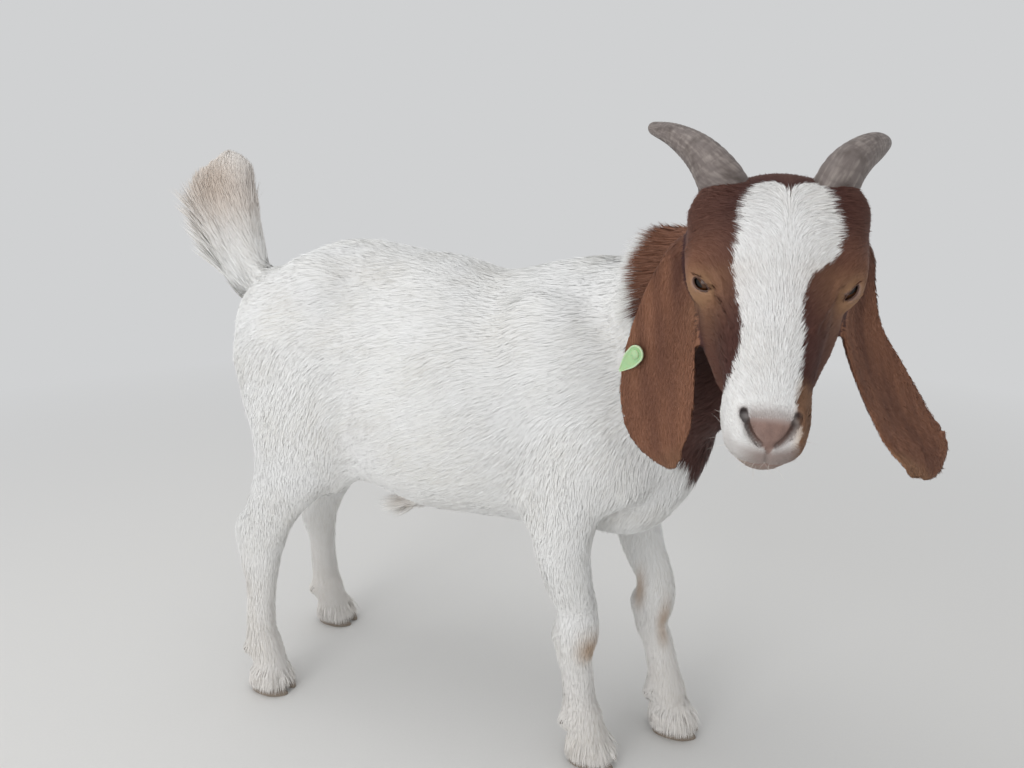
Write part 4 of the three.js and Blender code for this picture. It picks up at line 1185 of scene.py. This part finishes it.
def makeEye():
    # wet cornea over a dark brown iris with a level slit pupil; the white is brown and hardly shows
    material, tree, shader = newMaterial("wetCornea", {
        "Roughness": 0.3, "Specular IOR Level": 0.15, "Coat Weight": 0.45, "Coat Roughness": 0.03})
    where = addNode(tree, "Attribute", attribute_name="gaze").outputs["Vector"]
    flat = addNode(tree, "VectorMath", {0: where, 1: (1, 1, 0)}, operation="MULTIPLY").outputs[0]
    out = addNode(tree, "VectorMath", {0: flat}, operation="LENGTH").outputs["Value"]
    rim = addNode(tree, "MapRange", {"Value": out, "From Min": iris["limbus"] - 0.1,
                                     "From Max": iris["limbus"]}).outputs["Result"]
    narrow = (1 / iris["pupilLong"], 1 / iris["pupilTall"], 0)
    scaled = addNode(tree, "VectorMath", {0: flat, 1: narrow}, operation="MULTIPLY").outputs[0]
    slit = addNode(tree, "VectorMath", {0: scaled}, operation="LENGTH").outputs["Value"]
    pupil = addNode(tree, "MapRange", {"Value": slit, "From Min": 1.1, "From Max": 0.9})
    # the iris's fibres show as flecks about 0.9 mm apart
    fibres = addNode(tree, "TexNoise", {"Vector": where, "Scale": 16.0, "Detail": 3.0})
    paint(tree, shader, "#5f3a1c", ((fibres.outputs["Fac"], "#30190b"), (rim, "#1c110d"),
                                    (pupil.outputs["Result"], "#070505")))
    return material


eyeMaterial = makeEye()
for name, s in sides.items():
    centre = eyeCentre(name)
    out = unit(np.array(gaze["way"]) * (1, s, 1))
    level = np.array(gaze["level"]) * (1, s, 1)
    level = unit(level - out * (out @ level))
    axes = np.stack([level, np.cross(out, level), out])
    # from just short of the back pole to just short of the front one
    angle = np.linspace(math.pi * 0.98, math.pi * 0.02, gaze["rows"])[:, None]
    turn = circle(gaze["columns"])
    bulge = np.clip(1 - (angle / gaze["corneaHalf"]) ** 2, 0, 1) ** 1.5
    radius = gaze["ball"] - gaze["cornea"] + gaze["cornea"] * (0.35 + bulge)
    ball = np.stack(np.broadcast_arrays(
        np.sin(angle) * np.cos(turn), np.sin(angle) * np.sin(turn), np.cos(angle)), 2)
    at, faces = loft((ball * radius[..., None]) @ axes + centre)
    eye = solidPiece("eyeball" + name.title(), fromHead(at), faces, eyeMaterial, "eye")
    putAttribute(eye, "gaze", "FLOAT_VECTOR", "vector", unit(at - centre) @ axes.T)
    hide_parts("eye_" + name)


def makeLidRim():
    # bare rims of the lids: smooth dark skin kept moist by tears, so it shows small soft highlights
    material, tree, shader = newMaterial("moistLidRim", {"Roughness": 0.3, "Specular IOR Level": 0.5})
    where = addNode(tree, "TexCoord").outputs["Object"]
    # pigment mottles it every 2 mm or so
    mottle = addNode(tree, "TexNoise", {"Vector": where, "Scale": 1000 / 2, "Detail": 2.0})
    paint(tree, shader, "#33211b", ((mottle.outputs["Fac"], "#6e4d3d"),))
    return material


# Lid rims: a closed tube about the line of each opening.
lidRim = {"radius": 15.0, "thick": 0.85, "steps": 56, "around": 10, "corners": 0.3, "wider": 1.02}
rimMaterial = makeLidRim()
lidLines = {}
for name in sides:
    long, tall = lidOpenings[name]["half"]
    turn = circle(lidRim["steps"])
    across = long * lidRim["wider"] * np.cos(turn)
    up = tall * np.sin(turn) * (1 - lidRim["corners"] * np.cos(turn) ** 2)
    out = np.sqrt(lidRim["radius"] ** 2 - across**2 - up**2)
    line = eyeCentre(name) + np.stack([across, up, out], 1) @ eyeAxes(name)
    lidLines[name] = line
    ahead = unit(np.roll(line, -1, 0) - np.roll(line, 1, 0))
    away = unit(line - line.mean(0))
    side = np.cross(ahead, away)
    turn = circle(lidRim["around"])[:, None]
    tube = away[:, None] * np.cos(turn) + side[:, None] * np.sin(turn)
    rings = line[:, None] + tube * lidRim["thick"]
    grid = np.arange(lidRim["steps"] * lidRim["around"]).reshape(rings.shape[:2])
    ahead, beside = np.roll(grid, -1, 0), np.roll(grid, -1, 1)
    faces = np.stack([grid, ahead, np.roll(ahead, -1, 1), beside], -1).reshape(-1, 4).tolist()
    solidPiece("lidRim" + name.title(), fromHead(rings.reshape(-1, 3)), faces, rimMaterial, "eye")

# lashes along the upper lid, and a few whiskers on lip and chin
lashes = {"count": 64, "length": 8.5, "width": 0.32, "fan": 12, "marking": (1, 0.75, 0.2, 0)}
whiskers = {"count": 60, "length": (8, 18), "width": 0.2, "marking": (0, 0, 0.3, 0)}
rng = np.random.default_rng(31)
roots, ways, lengths = [], [], []
for name in sides:
    along, up, out = eyeAxes(name)
    line = lidLines[name]
    upper = line[(line - line.mean(0)) @ up > 0.5]
    for root in upper[rng.integers(0, len(upper), lashes["count"])]:
        fan = (root - eyeCentre(name)) @ along / lashes["fan"]
        roots.append(root + up * 0.4)
        ways.append(unit(out * 0.8 + up * (0.55 + rng.normal() * 0.12) + along * fan))
        lengths.append(lashes["length"] * rng.uniform(0.6, 1.1))
local = toHead(points)
snout = np.nonzero((local[:, 0] > 92) & (local[:, 2] < -12) & (shares["head"] > 0.9))[0]
picked = rng.choice(snout, whiskers["count"])
astray = rng.normal(size=(len(picked), 3)) * 0.25
whiskerWays = unit(normals[picked] * 0.8 + lie[picked] * 0.5 + astray)
counts = (len(roots), len(picked))
roots = np.vstack([fromHead(np.array(roots)), points[picked]])
ways = np.vstack([np.array(ways) @ headHome[1].T, whiskerWays])
lengths = np.append(lengths, rng.uniform(*whiskers["length"], len(picked)))[:, None]
width = np.repeat((lashes["width"], whiskers["width"]), counts)[:, None] / 2
side = unit(np.cross(ways, rng.normal(size=ways.shape))) * width
middle = roots + ways * lengths * 0.5
tip = roots + ways * lengths * 0.95 - (0, 0, 1) * lengths * 0.12
rows = np.stack([roots - side, roots + side, middle + side * 0.8, middle - side * 0.8, tip], 1)
nearest = [int(np.argmin(((points - root) ** 2).sum(1))) for root in roots]
cornerOf = np.full(len(points), -1)
cornerOf[quads.ravel()] = np.arange(quads.size)
place = skinMap.reshape(-1, 2)[cornerOf[nearest]]
facing = np.repeat(unit(np.cross(side, ways))[:, None], 5, 1)
marking = np.repeat((lashes["marking"], whiskers["marking"]), counts, 0)
stripPiece("lashesAndWhiskers", rows, facing, place, marking, rng.random(len(rows)))

# Horns: ringed keratin round a curved core, ending in a worn blunt tip.
hornStations = {  # x, y, z, half width and half depth
    "right": ((-66, -37, 14, 20, 17), (-80, -47, 25, 18, 15.5), (-99, -62, 29, 14, 12.5),
              (-120, -82, 25, 9.5, 8.5), (-139, -101, 14, 5.5, 5), (-144, -105, 10, 3, 3)),
    "left": ((-66, 37, 14, 20, 17), (-82, 44, 25, 18, 15.5), (-99, 55, 24, 15, 13),
             (-118, 68, 14, 11.5, 10), (-133, 78, 2, 6.5, 6), (-137, 81, -3, 3, 3)),
}
hornRings = {"rows": 26, "columns": 48, "depth": 0.42, "apart": (7.5, 3.2), "flutes": 5,
             "flute": 0.06, "blunt": 7, "fade": (4, 30), "grainRound": 14, "grainApart": 50}


def makeHorn():
    # horn sheath: layered keratin, dull and scuffed, streaked lengthwise where the layers wear through
    material, tree, shader = newMaterial("wornKeratin", {"Roughness": 0.55, "Specular IOR Level": 0.4})
    groove = addNode(tree, "Attribute", attribute_name="groove").outputs["Fac"]
    grain = addNode(tree, "Attribute", attribute_name="grain").outputs["Vector"]  # in millimetres
    # scuffs about 3 mm wide and 12 mm long, and blotches of 9 mm
    stretched = addNode(tree, "VectorMath", {0: grain, 1: (0.33, 0.33, 0.085)}, operation="MULTIPLY")
    streaks = addNode(tree, "TexNoise", {"Vector": stretched.outputs[0], "Scale": 1.0,
                                         "Detail": 4.0}).outputs["Fac"]
    blotches = addNode(tree, "TexNoise", {"Vector": grain, "Scale": 1 / 9, "Detail": 3.0})
    pale = addNode(tree, "MapRange", {"Value": streaks, "From Min": 0.45, "From Max": 0.68})
    deep = addNode(tree, "MapRange", {"Value": blotches.outputs["Fac"], "From Min": 0.5,
                                      "From Max": 0.72})
    paint(tree, shader, "#756b67", ((pale.outputs["Result"], "#938983"),
                                    (deep.outputs["Result"], "#584e49"), (groove, "#665c58")),
          streaks, (0.5, 0.0004))
    return material


hornMaterial = makeHorn()
for name, s in sides.items():
    line = catmullRom(hornStations[name], hornRings["rows"])
    travelled = np.append(0, np.cumsum(np.linalg.norm(np.diff(line[:, :3], axis=0), axis=1)))
    whole = travelled[-1]
    left = whole - travelled
    along = travelled / whole
    phase = np.cumsum(np.gradient(travelled) / np.interp(along, (0, 1), hornRings["apart"]))[:, None]
    ahead = unit(np.gradient(line[:, :3], axis=0))
    wide = np.array((0.6, s * -0.2, -0.6))
    width = unit(wide - ahead * (ahead @ wide)[:, None])
    deep = np.cross(ahead, width)
    turn = circle(hornRings["columns"])
    wander = 0.22 * np.sin(2 * turn + phase * 0.5) + 0.12 * np.sin(3 * turn + 2 + s)
    ridge = np.abs(np.sin(math.pi * (phase + wander))) ** 0.7
    fade = smooth(left, *hornRings["fade"])[:, None]
    flutes = np.sin(hornRings["flutes"] * turn + np.sin(along * 9)[:, None]) * hornRings["flute"] * fade
    swell = (ridge - 0.6) * hornRings["depth"] * fade + flutes
    rounding = np.clip(1 - left / hornRings["blunt"], 0, 1)
    blunt = np.sqrt(np.clip(1 - rounding**2, 0.02, 1))
    a, b = ((line[:, k, None] * blunt[:, None] + swell)[..., None] for k in (3, 4))
    rings = line[:, None, :3] + width[:, None] * a * np.cos(turn)[:, None]
    rings = rings + deep[:, None] * b * np.sin(turn)[:, None]
    at, faces = loft(rings)
    horn = solidPiece("horn" + name.title(), fromHead(at), faces, hornMaterial, "horn")
    grain = np.stack(np.broadcast_arrays(
        np.cos(turn) * hornRings["grainRound"], np.sin(turn) * hornRings["grainRound"],
        travelled[:, None]), 2).reshape(-1, 3)
    grain = np.vstack([grain, (0, 0, 0), (0, 0, whole)]) + s * hornRings["grainApart"]
    putAttribute(horn, "grain", "FLOAT_VECTOR", "vector", grain)
    groove = ((1 - ridge) ** 2 * fade * 0.6).ravel()
    putAttribute(horn, "groove", "FLOAT", "value", np.append(groove, (0, 0)))
    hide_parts("horn_" + name)


# Claws: two to a foot, with a flat sole, a sloping toe wall and fine growth rings.
claw = {"half": 11.2, "apart": 11.5, "toe": 29, "heel": -25, "slope": 0.62, "top": 26, "rows": 40,
        "columns": 56, "ringsApart": 2.6, "ringDeep": 0.16, "edge": 1.6, "square": 0.8}
# from the fetlock to both ends of a dewclaw, and its half width at each
dewclaw = {"ends": ((-12, 12, -3), (-23, 12, -12)), "half": (5.6, 3.8), "rows": 24, "columns": 28}


def makeClaw():
    # hoof horn: hard keratin, satin where walked clean, ringed by growth, with dry soil at the edge
    material, tree, shader = newMaterial("satinHoofHorn", {"Roughness": 0.48, "Specular IOR Level": 0.4})
    where = addNode(tree, "TexCoord").outputs["Object"]
    # streaks run down the wall, about 1.5 mm wide and 11 mm long
    stretched = addNode(tree, "VectorMath", {0: where, 1: (650, 650, 90)}, operation="MULTIPLY")
    streaks = addNode(tree, "TexNoise", {"Vector": stretched.outputs[0], "Scale": 1.0,
                                         "Detail": 3.0}).outputs["Fac"]
    height = addNode(tree, "SeparateXYZ", {0: where}).outputs["Z"]
    dust = addNode(tree, "MapRange", {"Value": height, "From Min": 0.012, "From Max": 0.0,
                                      "To Max": 0.5}).outputs["Result"]
    paint(tree, shader, "#4b4037", ((streaks, "#85766a"), (dust, "#a89c8d")), streaks, (0.35, 0.0003))
    return material


def clawRings(hoof, offset):
    height = np.linspace(0, claw["top"], claw["rows"])[:, None]
    turn = circle(claw["columns"])
    cos, sin = np.cos(turn), np.sin(turn)
    rise = np.clip(height / claw["edge"], 0, 1)
    tuck = (1 - np.sqrt(1 - (1 - rise) ** 2)) * claw["edge"]
    toe = claw["toe"] - claw["slope"] * height - tuck
    heel = claw["heel"] + 0.06 * height + tuck
    middle, long = (toe + heel) / 2, (toe - heel) / 2
    x = middle + long * np.sign(cos) * np.abs(cos) ** claw["square"]
    forward = np.clip((x - 4) / 25, 0, 1)
    ringed = np.sin(height * (2 * math.pi / claw["ringsApart"])) * claw["ringDeep"]
    ringed = ringed * smooth(height, 2, 5)
    half = (claw["half"] - tuck + ringed) * (1 - 0.42 * forward**2)
    y = offset - np.sign(offset) * 3.5 * forward**2 + half * np.sign(sin) * np.abs(sin) ** claw["square"]
    # the top follows the slant of the coronet
    z = np.minimum(height, coronet["height"] + 1.5 + 0.2 * x)
    return np.stack([hoof[0] + x, hoof[1] + y, z], 2)


def dewclawRings(fetlock, way):
    start, stop = (fetlock + np.array(end) * (1, way, 1) for end in dewclaw["ends"])
    share = np.linspace(0, 1, dewclaw["rows"])[:, None, None]
    half = np.interp(share, (0, 1), dewclaw["half"]) * np.sqrt(np.clip(1 - share**6, 0.02, 1))
    half = half + 0.12 * np.sin(share * 40)
    side = np.array((0, 1.0, 0))
    turn = circle(dewclaw["columns"])[:, None]
    tube = side * np.sin(turn) + np.cross(side, unit(stop - start)) * np.cos(turn)
    return start + (stop - start) * share + half * tube


clawMaterial = makeClaw()
for pair, legs in (("hind", hindLegs), ("front", foreLegs)):
    for name, leg in legs.items():
        for place, way in (("inner", -sides[name]), ("outer", sides[name])):
            for kind, rings in (("claw", clawRings(leg["hoof"], way * claw["apart"])),
                                ("dewclaw", dewclawRings(leg["fetlock"], way))):
                made = solidPiece(kind + pair.title() + name.title() + place.title(),
                                  *loft(rings), clawMaterial, "claw")
                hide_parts(f"{kind}_{pair}_{name}_{place}")


# Ear tag: a thin pointed flag with a raised rim, on a stud with a round button behind the ear.
tag = {"at": (264, -163, 523), "along": (-0.69, 0.07, -0.72), "out": (-0.38, -0.92, 0.06),
       "long": 24, "round": 8, "thick": 1.6, "stand": 6, "stem": 2.2, "button": 8, "behind": 8.5,
       "boss": 4.2, "rim": 1.3, "rimHigh": 0.35, "middle": (5, 0)}


def makeTag():
    # moulded polyurethane, slightly translucent, matt from weather and handling
    material, tree, shader = newMaterial("mouldedTag", {
        "Roughness": 0.5, "Specular IOR Level": 0.45, "Subsurface Weight": 0.15,
        "Subsurface Scale": 0.002})
    where = addNode(tree, "TexCoord").outputs["Object"]
    # grime lies in patches about 9 mm across
    grime = addNode(tree, "TexNoise", {"Vector": where, "Scale": 1000 / 9,
                                       "Detail": 4.0}).outputs["Fac"]
    worn = addNode(tree, "MapRange", {"Value": grime, "From Min": 0.5, "From Max": 0.75,
                                      "To Max": 0.5}).outputs["Result"]
    rim = addNode(tree, "Attribute", attribute_name="rim").outputs["Fac"]
    paint(tree, shader, "#a9cd98", ((worn, "#94b184"), (rim, "#c4dcb4")), grime, (0.15, 0.0005))
    return material


tagMaterial = makeTag()
tagOut = unit(tag["out"])
tagAlong = unit(np.array(tag["along"]) - tagOut * (tagOut @ tag["along"]))
tagAxes = np.stack([tagAlong, np.cross(tagOut, tagAlong), tagOut])
arc = np.linspace(math.pi * 1.5, math.pi * 0.5, 40)
flank = ((0, tag["round"]), (tag["long"] * 0.35, 7.4), (tag["long"] * 0.7, 3.9), (tag["long"] - 1, 1.0))
otherFlank = [(x, -y) for x, y in flank[::-1]]
outline = np.vstack([np.stack([np.cos(arc), np.sin(arc)], 1) * tag["round"],
                     catmullRom(flank, 8)[1:], catmullRom(otherFlank, 8)[:-1]])
top = tag["thick"] + tag["rimHigh"]
levels = (  # height over the stand, and how far the outline is drawn in
    (0, 4.0), (0, 0.5), (0.3, 0.0), (top - 0.3, 0.0), (top, 0.4), (top, tag["rim"]),
    (tag["thick"], tag["rim"] + 0.35), (tag["thick"], 5.0),
)
toMiddle = np.array(tag["middle"]) - outline
most = np.linalg.norm(toMiddle, axis=1) * 0.92
rings = []
for high, inset in levels:
    x, y = (outline + unit(toMiddle) * np.minimum(inset, most)[:, None]).T
    rings.append(stacked(x, y, tag["stand"] + high))
at, faces = loft(np.array(rings))
plate = solidPiece("tagPlate", at @ tagAxes + tag["at"], faces, tagMaterial, "ear_tag")
rimShare = np.repeat([float(2 <= k <= 5) for k in range(len(levels))], len(outline))
putAttribute(plate, "rim", "FLOAT", "value", np.append(rimShare, (0, 0)))
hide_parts("ear_tag_plate")

back, front = -tag["behind"], tag["stand"] + tag["thick"]
inner = back + tag["thick"]
profile = (  # radius and height of the stud, from the button's back to the boss over the plate
    (1.0, back - 1.4), (2.6, back - 1.2), (tag["button"] - 0.8, back), (tag["button"], back + 0.6),
    (tag["button"] - 0.4, inner), (tag["stem"] + 0.6, inner + 0.3), (tag["stem"], inner + 1.2),
    (tag["stem"], tag["stand"] - 0.1), (tag["stem"], front), (tag["boss"], front + 0.1),
    (tag["boss"] - 0.3, front + 0.9), (1.0, front + 1.1),
)
turn = circle(36)
rings = [stacked(radius * np.cos(turn), radius * np.sin(turn), high) for radius, high in profile]
at, faces = loft(np.array(rings))
stud = solidPiece("tagStud", at @ tagAxes + tag["at"], faces, tagMaterial, "ear_tag")
putAttribute(stud, "rim", "FLOAT", "value", np.full(len(at), 0.3))
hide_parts("ear_tag_button")
print("parts made")

# a pale studio: a wide floor whose paint fades into the backdrop, a soft sky and two soft lamps
studio = {"floor": 60, "rings": 40, "columns": 96, "fadeFrom": 0.8, "fadeTo": 2.4,
          "backdrop": "#d0d1d2", "paper": "#e3e2e0", "sky": 1.0}


def makePaper():
    # seamless paper: a matt pulp surface, near enough a perfect diffuser, flecked by fibres of 3 mm
    material, tree, shader = newMaterial("mattPaper", {"Roughness": 0.95, "Specular IOR Level": 0.1})
    where = addNode(tree, "TexCoord").outputs["Object"]
    away = addNode(tree, "VectorMath", {0: where}, operation="LENGTH").outputs["Value"]
    fade = addNode(tree, "MapRange", {"Value": away, "From Min": studio["fadeFrom"],
                                      "From Max": studio["fadeTo"]}).outputs["Result"]
    fibre = addNode(tree, "TexNoise", {"Vector": where, "Scale": 1000 / 3, "Detail": 3.0})
    tinted = addNode(tree, "MapRange", {"Value": fibre.outputs["Fac"], "To Max": 0.25})
    paint(tree, shader, studio["paper"], ((tinted.outputs["Result"], "#d2d1ce"),))
    glow = addNode(tree, "Emission", {"Color": studio["backdrop"], "Strength": studio["sky"]})
    blend = addNode(tree, "MixShader", {0: fade, 1: shader.outputs[0], 2: glow.outputs[0]})
    tree.links.new(blend.outputs[0], tree.nodes["Material Output"].inputs["Surface"])
    return material


radii = np.geomspace(0.5, studio["floor"], studio["rings"])
turn = circle(studio["columns"])
discPoints = [(r * math.cos(t), r * math.sin(t), 0) for r in radii for t in turn] + [(0, 0, 0)]
at = np.arange(len(discPoints) - 1).reshape(-1, studio["columns"])
ahead = np.roll(at, -1, 1)
discFaces = np.stack([at[:-1], at[1:], ahead[1:], ahead[:-1]], -1).reshape(-1, 4).tolist()
discFaces += [(len(discPoints) - 1, a, b) for a, b in zip(at[0], ahead[0])]
floorMesh = bpy.data.meshes.new("floor")
floorMesh.from_pydata(discPoints, [], discFaces)
floorMesh.materials.append(makePaper())
floor = bpy.data.objects.new("floor", floorMesh)
bpy.context.scene.collection.objects.link(floor)

world = bpy.data.worlds.new("studio")
bpy.context.scene.world = world
world.use_nodes = True
sky = world.node_tree.nodes["Background"].inputs
sky["Color"].default_value = linear(studio["backdrop"])
sky["Strength"].default_value = studio["sky"]
lamps = {  # place, aim, size and watts
    "overhead": ((-0.6, -0.3, 2.4), (-0.1, 0, 0.4), 1.4, 11),
    "frontFill": ((-0.6, -2.2, 0.75), (-0.2, 0, 0.2), 1.2, 16),
}
for name, (at, aim, size, watts) in lamps.items():
    lamp = bpy.data.lights.new(name, "AREA")
    lamp.energy = watts
    lamp.size = size
    lampObject = bpy.data.objects.new(name, lamp)
    lampObject.location = at
    lampObject.rotation_euler = (Vector(aim) - Vector(at)).to_track_quat("-Z", "Y").to_euler()
    bpy.context.scene.collection.objects.link(lampObject)

view = {"at": (411, -803.5, 662), "down": 14.37, "turn": 22.6, "focal": 27.04, "sensor": 36}
camera = bpy.data.cameras.new("camera")
camera.lens = view["focal"]
camera.sensor_width = view["sensor"]
camera.clip_start = 0.02
cameraObject = bpy.data.objects.new("camera", camera)
cameraObject.location = toFrame(view["at"])
cameraObject.rotation_euler = (math.radians(90 - view["down"]), 0, math.radians(view["turn"]))
bpy.context.scene.collection.objects.link(cameraObject)
bpy.context.scene.camera = cameraObject
bpy.context.scene.view_settings.view_transform = "Standard"
